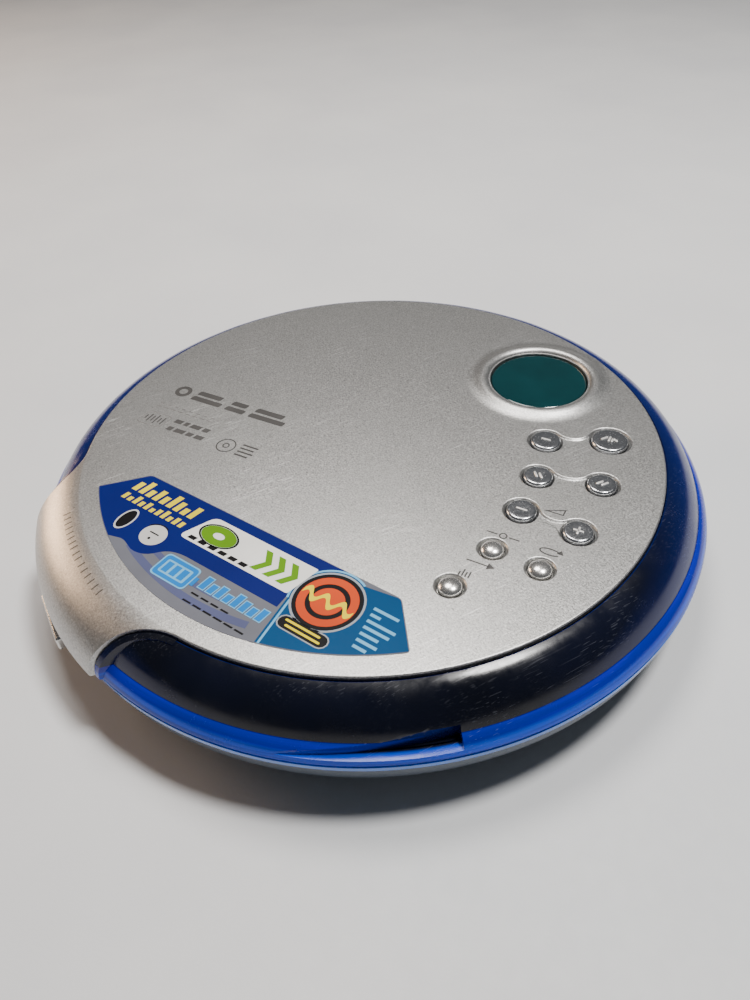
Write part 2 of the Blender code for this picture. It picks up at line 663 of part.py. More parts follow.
def ring_section():
    """Section of the clear ring: a flange under the cover, the sloping top and the outer wall."""
    edge = (66.8, 17.4)
    top = bend((COVER_RADIUS + GAP, 23.5), (65.0, 22.0), edge, 5)
    wall = bend(edge, (68.4, 16.6), (SEAM_RADIUS, RING_BOTTOM_Z), 3)[1:]
    inside = bend((SEAM_RADIUS - 1.6, RING_BOTTOM_Z), (66.6, 16.4), (65.2, 16.9), 2)
    under = bend((65.2, 16.9), (63.6, 20.6), (COVER_RADIUS + GAP, 21.7), 4)[1:]
    return [(56.5, 22.7), (COVER_RADIUS + GAP, 22.7), *top, *wall, *inside, *under, (56.5, 21.7)]


def scoop_outlines():
    """The finger scoop's backing and its cut, which deepens to an upright step."""
    start, step = 317.0, 343.0
    steps = 8
    backing = arc((0, 0), (67.5, 67.5), start - 1, step + 2, steps)
    backing += arc((0, 0), (64.2, 64.2), step + 2, start - 1, steps)
    floor = []
    for n in range(steps + 1):
        along = n / steps
        floor.append(polar(SEAM_RADIUS - 3.2 * along, step + (start - step) * (1 - along)))
    outer = arc((0, 0), (SEAM_RADIUS + 2, SEAM_RADIUS + 2), step, start, steps)
    return backing, floor + outer


def build_ring():
    backing, scoop = scoop_outlines()
    return piece(
        "lid_ring", "clear_blue", turned(ring_section(), ring=True),
        join=[slab(backing, 14.6, 17.6)], cut=[slab(tab_opening(), 10, 30), slab(scoop, 15.3, 17.2)],
    )


def build_lid_insides():
    display = (DISPLAY_X, DISPLAY_Y)
    glass = [
        (0, 24.2), (WINDOW_RADIUS, 24.15), (WINDOW_RADIUS, 22.9), (12.4, 22.9), (12.4, 22.3), (0, 22.3),
    ]
    lens = piece("display_lens", "window_green", turned(glass, 36, display))
    panel = box((DISPLAY_X - 9, DISPLAY_Y - 7.5, 21.2), (DISPLAY_X + 9, DISPLAY_Y + 7.5, 22.0))
    lcd = piece("lcd_panel", "lcd_grey", panel)
    outline = arc((0, 0), (53.4, 53.4), -16, 62, 16) + arc((0, 0), (30, 30), 62, -16, 10)
    clear_of_display = post(display, 13.0, 20, 23, 32)
    board = piece("lid_board", "board_green", slab(outline, 21.2, 21.8), cut=[clear_of_display])
    low, high = INNER_COVER_Z, INNER_COVER_Z + 0.6
    hub_room = 13.0
    plate = [(hub_room, high), (59.0, high), (59.0, low), (hub_room, low)]
    inner = piece("lid_inner_cover", "dark_plastic", turned(plate, ring=True))
    return [lens, lcd, board, inner]


def build_keys():
    flange_low, flange_high = 22.6, COVER_UNDER_Z - GAP
    made = []
    for name, (distance, angle, radius, _) in KEYS.items():
        place = polar(distance, angle)
        if name in DOMED_KEYS:
            crown = [
                (0, KEY_TOP_Z + 0.35), (radius * 0.5, KEY_TOP_Z + 0.25), (radius * 0.85, KEY_TOP_Z - 0.05),
            ]
        else:
            crown = [(0, KEY_TOP_Z), (radius - 0.4, KEY_TOP_Z)]
        flange = radius + 0.6
        profile = [
            *crown, (radius, KEY_TOP_Z - 0.4), (radius, flange_high), (flange, flange_high),
            (flange, flange_low), (0, flange_low),
        ]
        key = piece(f"key_{name}", "key_silver", turned(profile, 16, place))
        made.append(pivot(f"key_{name}_axis", (*place, KEY_TOP_Z), [key]))
    return made


clear_scene()
PARTS = new_collection("Portable CD player")
HELPERS = new_collection("Cutters")
build_case()
build_trim()
build_deck()
build_feet_and_screws()
build_hinge_pins()
build_power()
build_spindle()
build_chassis()
build_pickup()
build_electronics()
knuckle = build_knuckle()
hook = build_latch()
lid_pieces = [build_cover(), build_ring(), *build_lid_insides(), knuckle, hook]
pivot("lid_axis", (0, HINGE_Y, HINGE_Z), [*lid_pieces, *build_keys()])
HELPERS.hide_render = True
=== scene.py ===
"""Looks of the portable CD player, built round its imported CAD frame.

Lengths in this file are millimetres and angles are degrees. Meshes are made in metres by MM.
"""

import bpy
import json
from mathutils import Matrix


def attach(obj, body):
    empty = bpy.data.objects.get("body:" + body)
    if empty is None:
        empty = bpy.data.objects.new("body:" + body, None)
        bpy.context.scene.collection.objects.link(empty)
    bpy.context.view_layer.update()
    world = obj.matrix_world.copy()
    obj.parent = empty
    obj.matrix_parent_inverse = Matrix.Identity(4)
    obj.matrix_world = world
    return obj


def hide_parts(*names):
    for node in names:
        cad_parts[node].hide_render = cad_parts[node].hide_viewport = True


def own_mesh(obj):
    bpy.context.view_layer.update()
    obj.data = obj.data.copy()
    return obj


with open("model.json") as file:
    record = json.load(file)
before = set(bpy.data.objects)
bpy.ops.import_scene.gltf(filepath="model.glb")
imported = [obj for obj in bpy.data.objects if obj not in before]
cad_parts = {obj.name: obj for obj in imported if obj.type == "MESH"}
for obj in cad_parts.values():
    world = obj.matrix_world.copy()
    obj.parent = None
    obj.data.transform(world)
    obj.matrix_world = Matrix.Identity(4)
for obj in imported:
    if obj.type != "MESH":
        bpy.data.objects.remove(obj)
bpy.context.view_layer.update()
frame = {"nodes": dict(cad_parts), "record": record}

import json
import math
import random

import bmesh
import bpy
from mathutils import Matrix, Vector

MM = 0.001
GAP = 0.3
COVER_RADIUS = 59.5
SEAM_RADIUS = 69.0
TAB_HALF = 21.5
TAB_FILLET = 14.5
TAB_LEAN = 12.0  # the tab's sides lean inwards as they run down
BEYOND_Y = -75.0  # past the front of everything
TAB_WALL = 1.1
DOME_START = 58.0  # from this radius outwards the lid's skin curves down
DOME_DROP = 10.05
DOME_TOP = 24.25
TAB_RADIUS = 70.3
COVER_TOP = 24.2
RING_BOTTOM = 14.2
CASE_TOP = 12.6
CASE_RADIUS = 68.6
FLOOR_RADIUS = 53.0
DISPLAY = (1.5, 42.9)
KEY_TOP = 24.5
DECK_TOP = 13.7
DECK_LOW = 12.6
SLOT_START = 13.5
SLOT_END = 61.0
HINGE_Y, HINGE_Z = 66.8, 11.9
CHASSIS_Z = 10.6
ROD_X, ROD_Z = 17.0, 7.6
JACK_Z = 7.6
CELL_Z = 9.95
READING = 32.5  # the marks on the lid read along this direction
LABEL_TURN = 25.5
LABEL_LOW = COVER_TOP + 0.01
LABEL_DISC = (19.9, -40.0)
PRINT = 0.012  # how far the prints stand out

FEET = ((-34.5, -34.0), (34.5, -34.0), (-34.5, 34.0), (34.5, 34.0))
DAMPERS = ((-25.5, 2.0), (25.5, 2.0), (-25.5, 50.0), (25.5, 50.0))

# how far from the lid's centre, at what angle, the key's radius and its recess's radius
KEYS = {
    "stop": (36.4, 57.0, 3.06, 3.55),
    "play": (49.3, 57.1, 3.67, 4.2),
    "skip_back": (35.7, 38.6, 2.85, 3.3),
    "skip_forward": (47.8, 40.5, 2.85, 3.3),
    "volume_minus": (36.7, 21.8, 2.84, 3.3),
    "volume_plus": (47.9, 23.1, 2.8, 3.3),
    "memory_recall": (39.5, 4.7, 2.11, 2.58),
    "mode": (48.2, 8.9, 2.14, 2.56),
    "eq": (43.5, 349.5, 2.16, 2.62),
}
KEY_MARKS = {
    "stop": [((-0.8, 0), (0.8, 0))],
    "play": [((-1.5, -0.55), (-0.7, 0.5)), ((-0.1, -0.6), (-0.1, 0.7)), ((0.5, -0.5), (0.5, 0.5)),
             ((0.5, 0.5), (1.4, 0.0))],
    "skip_back": [((-0.9, 0.5), (-0.1, -0.5)), ((0.1, 0.5), (0.9, -0.5))],
    "skip_forward": [((-0.9, -0.5), (-0.1, 0.5)), ((0.1, -0.5), (0.9, 0.5))],
    "volume_minus": [((-0.9, 0), (0.9, 0))],
    "volume_plus": [((-0.8, 0), (0.8, 0)), ((0, -0.8), (0, 0.8))],
}
PAIRS = (("stop", "play"), ("skip_back", "skip_forward"), ("volume_minus", "volume_plus"))
DOMED = ("memory_recall", "mode", "eq")


def polar(distance, angle):
    return distance * math.cos(math.radians(angle)), distance * math.sin(math.radians(angle))


SCREWS = tuple(polar(56.0, angle) for angle in (20.0, 160.0, 270.0))


# ---------------------------------------------------------------- shapes


def link(name, mesh):
    made = bpy.data.objects.new(name, mesh)
    bpy.context.scene.collection.objects.link(made)
    return made


def smooth(mesh, angle=35):
    mesh.shade_smooth()
    mesh.set_sharp_from_angle(angle=math.radians(angle))
    return mesh


def from_faces(vertices, faces, angle=35):
    mesh = bpy.data.meshes.new("shape")
    mesh.from_pydata([Vector(v) * MM for v in vertices], [], faces)
    mesh.validate()
    mesh.update()
    return link("shape", smooth(mesh, angle))


def arc(centre, radii, start, end, steps):
    """Points round a circle, or round an ellipse if radii is a pair."""
    if not isinstance(radii, tuple):
        radii = (radii, radii)
    found = []
    for n in range(steps + 1):
        angle = math.radians(start + (end - start) * n / steps)
        found.append((centre[0] + radii[0] * math.cos(angle), centre[1] + radii[1] * math.sin(angle)))
    return found


def bend(start, corner, end, steps):
    """A quadratic curve that leaves start and reaches end heading along the lines to corner."""
    found = []
    for n in range(steps + 1):
        t = n / steps
        a, b, c = (1 - t) ** 2, 2 * t * (1 - t), t * t
        found.append((a * start[0] + b * corner[0] + c * end[0], a * start[1] + b * corner[1] + c * end[1]))
    return found


def rounded(points, radius, steps=3, closed=False):
    """The outline with each corner turned into a small curve. A point may carry its own radius."""
    found = []
    count = len(points)
    for n, point in enumerate(points):
        here = Vector(point[:2])
        size = point[2] if len(point) > 2 else radius
        if size <= 0 or (not closed and n in (0, count - 1)):
            found.append(tuple(here))
            continue
        before, after = Vector(points[n - 1][:2]), Vector(points[(n + 1) % count][:2])
        one = min(size, (before - here).length * 0.45)
        two = min(size, (after - here).length * 0.45)
        start = here + (before - here).normalized() * one
        end = here + (after - here).normalized() * two
        found += bend(start, here, end, steps)
    return found


def lathe(profile, steps, place=(0, 0), closed=False):
    """A turned solid from (radius, height) points that run down its outer side."""
    vertices, faces, rows = [], [], []
    for radius, height in profile:
        if radius < 1e-6:
            rows.append([len(vertices)])
            vertices.append((place[0], place[1], height))
            continue
        rows.append(list(range(len(vertices), len(vertices) + steps)))
        for n in range(steps):
            turn = 2 * math.pi * n / steps
            x, y = place[0] + radius * math.cos(turn), place[1] + radius * math.sin(turn)
            vertices.append((x, y, height))
    pairs = list(zip(rows, rows[1:])) + ([(rows[-1], rows[0])] if closed else [])
    for upper, lower in pairs:
        if len(upper) == len(lower) == 1:
            continue
        for n in range(steps):
            m = (n + 1) % steps
            if len(upper) == 1:
                faces.append((upper[0], lower[n], lower[m]))
            elif len(lower) == 1:
                faces.append((upper[n], lower[0], upper[m]))
            else:
                faces.append((upper[n], lower[n], lower[m], upper[m]))
    return from_faces(vertices, faces)


def loft(outlines):
    """A solid through outlines of equal length, each a list of (x, y) at its height."""
    vertices, faces = [], []
    count = len(outlines[0][0])
    for outline, height in outlines:
        vertices += [(x, y, height) for x, y in outline]
    for level in range(len(outlines) - 1):
        for n in range(count):
            m = (n + 1) % count
            a, b = level * count, (level + 1) * count
            faces.append((a + n, a + m, b + m, b + n))
    faces.append(tuple(reversed(range(count))))
    faces.append(tuple(range((len(outlines) - 1) * count, len(outlines) * count)))
    made = from_faces(vertices, faces)
    weld(made)
    return made


def baked(made):
    """The object with its modifiers applied, as a plain mesh at the origin."""
    bpy.context.view_layer.update()
    graph = bpy.context.evaluated_depsgraph_get()
    mesh = bpy.data.meshes.new_from_object(made.evaluated_get(graph))
    mesh.transform(made.matrix_world)
    bpy.data.objects.remove(made)
    return link("shape", mesh)


def plate(outlines, low, high, bevel=0.0, bevel_steps=2):
    """A flat plate with rounded edges. The first outline is its edge and the others are holes."""
    curve = bpy.data.curves.new("shape", "CURVE")
    curve.dimensions = "2D"
    curve.fill_mode = "BOTH"
    curve.extrude = ((high - low) / 2 - bevel) * MM
    curve.bevel_depth = bevel * MM
    curve.bevel_resolution = bevel_steps
    curve.offset = -bevel * MM
    for outline in outlines:
        spline = curve.splines.new("POLY")
        spline.points.add(len(outline) - 1)
        for point, (x, y) in zip(spline.points, outline):
            point.co = (x * MM, y * MM, 0, 1)
        spline.use_cyclic_u = True
    made = link("shape", curve)
    made.location.z = (low + high) / 2 * MM
    made = baked(made)
    weld(made, flatten=True)
    smooth(made.data)
    return made


def weld(made, flatten=False):
    """Joins doubled points, and with flatten also turns each flat area into one face."""
    bm = bmesh.new()
    bm.from_mesh(made.data)
    bmesh.ops.remove_doubles(bm, verts=bm.verts, dist=1e-7)
    if flatten:
        bmesh.ops.dissolve_limit(bm, angle_limit=math.radians(0.05), verts=bm.verts, edges=bm.edges)
    bmesh.ops.recalc_face_normals(bm, faces=bm.faces)
    bm.to_mesh(made.data)
    bm.free()


def block(low, high, bevel=0.2, steps=2):
    """A box with rounded edges from its lowest to its highest corner."""
    bm = bmesh.new()
    bmesh.ops.create_cube(bm, size=1)
    for vertex in bm.verts:
        for axis in range(3):
            vertex.co[axis] = (low[axis] if vertex.co[axis] < 0 else high[axis]) * MM
    if bevel:
        bmesh.ops.bevel(bm, geom=bm.edges, offset=bevel * MM, segments=steps, profile=0.5,
                        affect="EDGES", clamp_overlap=True)
    mesh = bpy.data.meshes.new("shape")
    bm.to_mesh(mesh)
    bm.free()
    return link("shape", smooth(mesh))


def along(made, start, end):
    """Lays a lathe shape made along +Z from the origin onto the line from start to end."""
    start, end = Vector(start), Vector(end)
    turn = (end - start).to_track_quat("Z", "Y").to_matrix().to_4x4()
    made.data.transform(Matrix.Translation(start * MM) @ turn)
    return made


def rod(start, end, radius, steps, bevel):
    length = (Vector(end) - Vector(start)).length
    profile = rounded([(0, length), (radius, length), (radius, 0), (0, 0)], bevel)
    return along(lathe(profile, steps), start, end)


def rod_x(y, z, start, end, radius, steps=32, bevel=0.0):
    return rod((start, y, z), (end, y, z), radius, steps, bevel)


def rod_y(x, z, start, end, radius, steps=32, bevel=0.0):
    return rod((x, start, z), (x, end, z), radius, steps, bevel)


def post(place, radius, low, high, steps=48, bevel=0.0):
    """A rod along Z."""
    profile = [(0, high), (radius, high), (radius, low), (0, low)]
    return lathe(rounded(profile, bevel) if bevel else profile, steps, place)


def rectangle(low, high, corner=1.0, steps=5):
    points = [(low[0], low[1]), (high[0], low[1]), (high[0], high[1]), (low[0], high[1])]
    return rounded(points, corner, steps, closed=True)


def tube(points, radius, sides):
    """A wire along points."""
    curve = bpy.data.curves.new("shape", "CURVE")
    curve.dimensions = "3D"
    curve.bevel_depth = radius * MM
    curve.bevel_resolution = max(1, sides // 4)
    curve.use_fill_caps = True
    spline = curve.splines.new("POLY")
    spline.points.add(len(points) - 1)
    for point, place in zip(spline.points, points):
        point.co = (*(Vector(place) * MM), 1)
    made = baked(link("shape", curve))
    weld(made)
    smooth(made.data, 50)
    return made


def coil(start, end, radius_start, radius_end, turns, wire):
    """A wire spring whose ends lie on a line along X."""
    count = round(turns * 28)
    points = []
    for n in range(count + 1):
        share = n / count
        angle = 2 * math.pi * turns * share
        radius = radius_start + (radius_end - radius_start) * share
        centre = Vector(start).lerp(Vector(end), share)
        points.append(centre + radius * Vector((0, math.cos(angle), math.sin(angle))))
    return tube(points, wire, 12)


def joined(*parts):
    """Several separate shells as one object."""
    bm = bmesh.new()
    for part in parts:
        bm.from_mesh(part.data)
        bpy.data.objects.remove(part)
    mesh = bpy.data.meshes.new("shape")
    bm.to_mesh(mesh)
    bm.free()
    return link("shape", smooth(mesh))


def combine(base, operation, *tools):
    for tool in tools:
        modifier = base.modifiers.new(operation, "BOOLEAN")
        modifier.operation = operation
        modifier.solver = "EXACT"
        modifier.object = tool
    result = baked(base)
    for tool in tools:
        bpy.data.objects.remove(tool)
    weld(result, flatten=True)
    smooth(result.data)
    return result


def cut(base, *tools):
    return combine(base, "DIFFERENCE", *tools)


def fuse(base, *tools):
    return combine(base, "UNION", *tools)


def show(made, name, body, surfaces, slot, *nodes):
    """Names a finished shape as a visible piece that rides on a body and stands for CAD nodes."""
    made.name = name
    made.data.name = name
    if made.data.materials:
        made.data.materials.clear()
    for surface in surfaces:
        made.data.materials.append(surface)
    modifier = made.modifiers.new("Flat shading", "WEIGHTED_NORMAL")
    modifier.keep_sharp = True
    modifier.weight = 80
    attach(made, body)
    for node in nodes:
        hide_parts(node)


# ---------------------------------------------------------------- surfaces


class Graph:
    """Short names for making shader nodes."""

    def __init__(self, name):
        self.material = bpy.data.materials.new(name)
        self.material.use_nodes = True
        self.nodes = self.material.node_tree.nodes
        self.links = self.material.node_tree.links
        self.shader = self.nodes["Principled BSDF"]
        self.coords = self.add("ShaderNodeTexCoord").outputs["Object"]
        self.mm = self.vector("SCALE", self.coords, scale=1000.0)

    def add(self, kind, **settings):
        node = self.nodes.new(kind)
        for key, value in settings.items():
            setattr(node, key, value)
        return node

    def put(self, socket, value):
        if isinstance(value, bpy.types.NodeSocket):
            self.links.new(value, socket)
        elif value is not None:
            socket.default_value = value

    def vector(self, operation, a, b=None, scale=None):
        node = self.add("ShaderNodeVectorMath", operation=operation)
        self.put(node.inputs[0], a)
        self.put(node.inputs[1], b)
        if scale is not None:
            self.put(node.inputs["Scale"], scale)
        return node.outputs["Value" if operation == "LENGTH" else "Vector"]

    def math(self, operation, a, b=None, c=None, clamp=False):
        node = self.add("ShaderNodeMath", operation=operation, use_clamp=clamp)
        for socket, value in zip(node.inputs, (a, b, c)):
            self.put(socket, value)
        return node.outputs[0]

    def noise(self, size, detail=2.0, roughness=0.5, where=None, stretch=None):
        place = where or self.mm
        if stretch:
            mapping = self.add("ShaderNodeMapping")
            self.put(mapping.inputs["Vector"], place)
            mapping.inputs["Rotation"].default_value[2] = math.radians(stretch[1])
            mapping.inputs["Scale"].default_value = (1, stretch[0], 1)
            place = mapping.outputs[0]
        node = self.add("ShaderNodeTexNoise")
        self.put(node.inputs["Vector"], place)
        node.inputs["Scale"].default_value = 1.0 / size
        node.inputs["Detail"].default_value = detail
        node.inputs["Roughness"].default_value = roughness
        return node.outputs["Fac"]

    def cells(self, size, output="Distance"):
        node = self.add("ShaderNodeTexVoronoi")
        self.put(node.inputs["Vector"], self.mm)
        node.inputs["Scale"].default_value = 1.0 / size
        return node.outputs[output]

    def span(self, value, low, high, to_low=0.0, to_high=1.0):
        node = self.add("ShaderNodeMapRange", clamp=True)
        for socket, item in zip(node.inputs, (value, low, high, to_low, to_high)):
            self.put(socket, item)
        return node.outputs[0]

    def mix(self, factor, a, b):
        node = self.add("ShaderNodeMix", data_type="RGBA")
        self.put(node.inputs["Factor"], factor)
        self.put(node.inputs[6], (*a, 1) if isinstance(a, tuple) else a)
        self.put(node.inputs[7], (*b, 1) if isinstance(b, tuple) else b)
        return node.outputs[2]

    def bump(self, height, depth_mm, under=None):
        node = self.add("ShaderNodeBump")
        node.inputs["Strength"].default_value = 1.0
        node.inputs["Distance"].default_value = depth_mm * MM
        self.put(node.inputs["Height"], height)
        if under:
            self.put(node.inputs["Normal"], under)
        return node.outputs[0]

    def set(self, **values):
        names = {
            "colour": "Base Color", "roughness": "Roughness", "metallic": "Metallic", "ior": "IOR",
            "coat": "Coat Weight", "coat_roughness": "Coat Roughness", "normal": "Normal",
            "transmission": "Transmission Weight", "specular": "Specular IOR Level",
        }
        for key, value in values.items():
            self.put(self.shader.inputs[names[key]], value)

    def scratches(self, amount, angles=(12, 75, 140)):
        """Fine hairline scratches, as a 0 to 1 value."""
        total = None
        patch = self.span(self.noise(14, 1), 0.42, 0.62)
        for n, turn in enumerate(angles):
            line = self.noise(0.16 + 0.05 * n, 0, stretch=(0.03, turn))
            thin = self.span(line, 0.735, 0.80)
            total = thin if total is None else self.math("MAXIMUM", total, thin)
        return self.math("MULTIPLY", self.math("MULTIPLY", total, patch), amount)

    def specks(self, size=2.2, share=0.12):
        """Scattered dust specks, as a 0 to 1 value."""
        dots = self.span(self.cells(size), 0.075, 0.045)
        chosen = self.span(self.cells(size, output="Color"), share, share - 0.02)
        return self.math("MULTIPLY", dots, chosen)


def plain(name, colour, roughness=0.5, metallic=0.0, grain=0.25, depth=0.02, mottle=0.08, coat=0.0,
          dust=0.0, wear=0.0, lines=None, specular=0.5):
    """A moulded, painted or plated surface with colour drift, grain in its gloss and a fine bump."""
    g = Graph(name)
    drift = g.span(g.noise(9, 3), 0.3, 0.7)
    dark = tuple(c * (1 - mottle) for c in colour)
    light = tuple(min(1, c * (1 + mottle)) for c in colour)
    tone = g.mix(drift, dark, light)
    fine = g.noise(grain, 2)
    if lines:
        fine = g.noise(lines[0], 2, stretch=(lines[1], lines[2]))
    if wear:
        scuffs = g.span(g.noise(1.6, 4, 0.7), 0.62, 0.74)
        pale = tuple(min(1, c * 1.5 + 0.05) for c in colour)
        tone = g.mix(g.math("MULTIPLY", scuffs, wear), tone, pale)
    if dust:
        tone = g.mix(g.math("MULTIPLY", g.specks(), dust), tone, (0.75, 0.75, 0.72))
    rough = g.span(fine, 0.25, 0.75, max(0.02, roughness - 0.07), min(1, roughness + 0.09))
    g.set(colour=tone, roughness=rough, metallic=metallic, specular=specular, coat=coat,
          coat_roughness=0.08, normal=g.bump(fine, depth))
    return g.material


def cover_silver():
    """Metallic lacquer: a bright sparkle grain over silver grey, with a few fine scratches."""
    g = Graph("cover_silver")
    grain = g.noise(0.34, 3, 0.75)
    flake = g.cells(0.30, output="Color")
    tone = g.mix(g.span(grain, 0.3, 0.7), (0.24, 0.238, 0.232), (0.60, 0.597, 0.585))
    tone = g.mix(g.span(flake, 0.80, 0.96, 0.0, 0.35), tone, (0.80, 0.79, 0.77))
    tone = g.mix(g.span(flake, 0.16, 0.04, 0.0, 0.5), tone, (0.14, 0.14, 0.14))
    tone = g.mix(g.span(g.noise(26, 2), 0.3, 0.7, 0.0, 0.18), tone, (0.44, 0.44, 0.45))
    marks = g.scratches(0.55, (20, 118))
    tone = g.mix(marks, tone, (0.85, 0.85, 0.84))
    g.set(colour=tone, metallic=0.90, roughness=g.span(grain, 0.3, 0.7, 0.31, 0.43), specular=0.5,
          normal=g.bump(grain, 0.035, under=g.bump(marks, 0.01)), coat=0.12, coat_roughness=0.35)
    return g.material


def clear_blue():
    """Deep blue see-through moulding, with painted shade where it is looked into and a painted bright blue
    glow in its outer wall.
    """
    g = Graph("clear_blue")
    split = g.add("ShaderNodeSeparateXYZ")
    g.put(split.inputs[0], g.mm)
    height = split.outputs["Z"]
    flat = g.add("ShaderNodeCombineXYZ")
    g.put(flat.inputs["X"], split.outputs["X"])
    g.put(flat.inputs["Y"], split.outputs["Y"])
    reach = g.vector("LENGTH", flat.outputs[0])
    # wall marks the outer wall below the rim's edge line, which gets a painted glow
    skin = g.math("MULTIPLY_ADD", height, -0.52, 75.55)
    below_edge = g.span(height, 17.42, 17.30)
    wall = g.math("MULTIPLY", below_edge, g.span(g.math("SUBTRACT", reach, skin), -0.5, -0.1))
    marks = g.scratches(0.3)
    dust = g.specks(2.6, 0.08)
    # painted see-through light and shade: near-black where the rim is looked at squarely, standing in for
    # the dark inside seen through it, and saturated blue at grazing angles, standing in for light passing
    # through
    facing = g.add("ShaderNodeLayerWeight")
    facing.inputs["Blend"].default_value = 0.5
    painted_see_through = g.mix(g.span(g.noise(18, 2), 0.3, 0.7), (0.004, 0.005, 0.011), (0.006, 0.008, 0.022))
    painted_see_through = g.mix(g.span(facing.outputs["Facing"], 0.25, 0.75), painted_see_through, (0.002, 0.014, 0.16))
    # painted glow: the outer wall is coloured bright azure low down and ultramarine higher up, with darker
    # streaks, standing in for light carried through the clear moulding
    upper = g.mix(g.span(height, 15.7, 16.3), (0.0, 0.075, 0.78), (0.004, 0.014, 0.42))
    bands = g.noise(0.5, 2, where=g.vector("MULTIPLY", g.mm, (0.02, 0.02, 1.0)))
    bright = g.mix(g.span(bands, 0.42, 0.62, 0.0, 0.45), upper, (0.0, 0.02, 0.20))
    tone = g.mix(wall, painted_see_through, bright)
    tone = g.mix(g.math("MULTIPLY", marks, 0.25), tone, (0.45, 0.48, 0.56))
    tone = g.mix(g.math("MULTIPLY", dust, 0.6), tone, (0.75, 0.74, 0.70))
    clear = g.span(wall, 0, 1, 0.35, 0.15)
    clean = g.math("SUBTRACT", 1.0, g.math("MAXIMUM", marks, dust), clamp=True)
    clear = g.math("MULTIPLY", clear, clean)
    haze = g.span(g.noise(7, 5, 0.65), 0.35, 0.75, 0.12, 0.34)
    rough = g.math("ADD", haze, g.math("MULTIPLY", marks, 0.3))
    g.set(colour=tone, roughness=rough, ior=1.5, transmission=clear,
          normal=g.bump(marks, 0.006), specular=0.22, coat=0.10, coat_roughness=0.10)
    return g.material


SURFACES = {
    "cover": cover_silver(),
    "clear": clear_blue(),
    "trim": plain("trim_blue", (0.005, 0.17, 0.74), 0.16, grain=1.2, depth=0.01, mottle=0.2, coat=0.8),
    "case": plain("case_grey", (0.075, 0.095, 0.13), 0.38, 0.15, grain=0.35, depth=0.03, mottle=0.04,
                  wear=0.08, dust=0.2),
    "window": plain("window_green", (0.0006, 0.028, 0.032), 0.06, grain=2.0, depth=0.002, mottle=0.15,
                    coat=1.0),
    "lcd": plain("lcd_grey", (0.30, 0.36, 0.32), 0.4, grain=0.2),
    "key": plain("key_silver", (0.63, 0.62, 0.60), 0.22, 0.9, grain=0.25, depth=0.006, mottle=0.05),
    "key_top": plain("key_dark_chrome", (0.46, 0.47, 0.49), 0.20, 0.95, grain=0.3, depth=0.004,
                     mottle=0.05),
    "key_mark": plain("key_mark_silver", (0.92, 0.91, 0.89), 0.30, 0.6, grain=0.15, depth=0.004,
                      mottle=0.03),
    "dark": plain("dark_plastic", (0.03, 0.031, 0.035), 0.45, grain=0.3, depth=0.03, mottle=0.2, dust=0.2),
    "rubber": plain("black_rubber", (0.02, 0.02, 0.021), 0.8, grain=0.25, depth=0.05, mottle=0.25,
                    dust=0.5),
    "steel": plain("steel", (0.62, 0.62, 0.63), 0.28, 1.0, depth=0.008, lines=(0.5, 0.05, 0)),
    "nickel": plain("nickel", (0.72, 0.69, 0.62), 0.3, 1.0, grain=0.5, depth=0.01),
    "board": plain("board_green", (0.015, 0.14, 0.06), 0.35, grain=0.8, depth=0.03, mottle=0.3, coat=0.4),
    "cell": plain("cell_jacket", (0.55, 0.40, 0.10), 0.3, 0.7, grain=0.4, depth=0.01),
    "lens": plain("lens_glass", (0.16, 0.2, 0.45), 0.04, 0.2, grain=2.0, depth=0.001, coat=1.0),
    "deck": plain("deck_plastic", (0.10, 0.106, 0.12), 0.40, grain=0.28, depth=0.03, mottle=0.05, dust=0.1),
    "copper": plain("copper", (0.75, 0.33, 0.12), 0.3, 1.0, depth=0.02, lines=(0.25, 0.06, 0)),
    "ink": plain("print_ink", (0.045, 0.043, 0.042), 0.5, grain=0.15, depth=0.01, mottle=0.25),
    "ink_grey": plain("print_grey", (0.16, 0.155, 0.15), 0.5, grain=0.15, depth=0.01, mottle=0.25),
}
LABEL_COLOURS = {
    "navy": (0.002, 0.008, 0.115), "teal": (0.0, 0.052, 0.155), "haze": (0.13, 0.135, 0.16),
    "lilac": (0.08, 0.09, 0.18), "white": (0.75, 0.75, 0.73), "yellow": (0.78, 0.62, 0.0),
    "cyan": (0.002, 0.17, 0.52), "pale_cyan": (0.15, 0.42, 0.66), "orange": (0.55, 0.06, 0.012),
    "black": (0.006, 0.006, 0.007), "green": (0.10, 0.25, 0.005), "grey": (0.30, 0.32, 0.34),
    "silver": (0.5, 0.5, 0.49),
}
for shade, colour in LABEL_COLOURS.items():
    SURFACES[shade] = plain("label_" + shade, colour, 0.40, grain=0.4, depth=0.006, mottle=0.07, wear=0.02,
                            specular=0.08)
# the first surface listed with a slot is also the one for CAD nodes in that slot
SLOTS = {
    "cover": "silver_paint", "clear": "clear_blue", "trim": "light_blue", "case": "grey_case",
    "window": "window_green", "lcd": "lcd_grey", "key": "key_silver", "dark": "dark_plastic",
    "rubber": "black_rubber", "steel": "steel", "nickel": "nickel", "board": "board_green",
    "cell": "cell_jacket", "lens": "lens_glass", "ink": "dark_plastic", "ink_grey": "dark_plastic",
    "deck": "dark_plastic", "copper": "nickel", **dict.fromkeys(LABEL_COLOURS, "dark_plastic"),
}


def finish(made, name, body, kind, *nodes):
    """Shows a piece of one surface. If no nodes are given, it stands for the CAD node of its name."""
    if not nodes and name.lower() in frame["nodes"]:
        nodes = (name.lower(),)
    show(made, name, body, [SURFACES[kind]], SLOTS[kind], *nodes)


# ---------------------------------------------------------------- lid


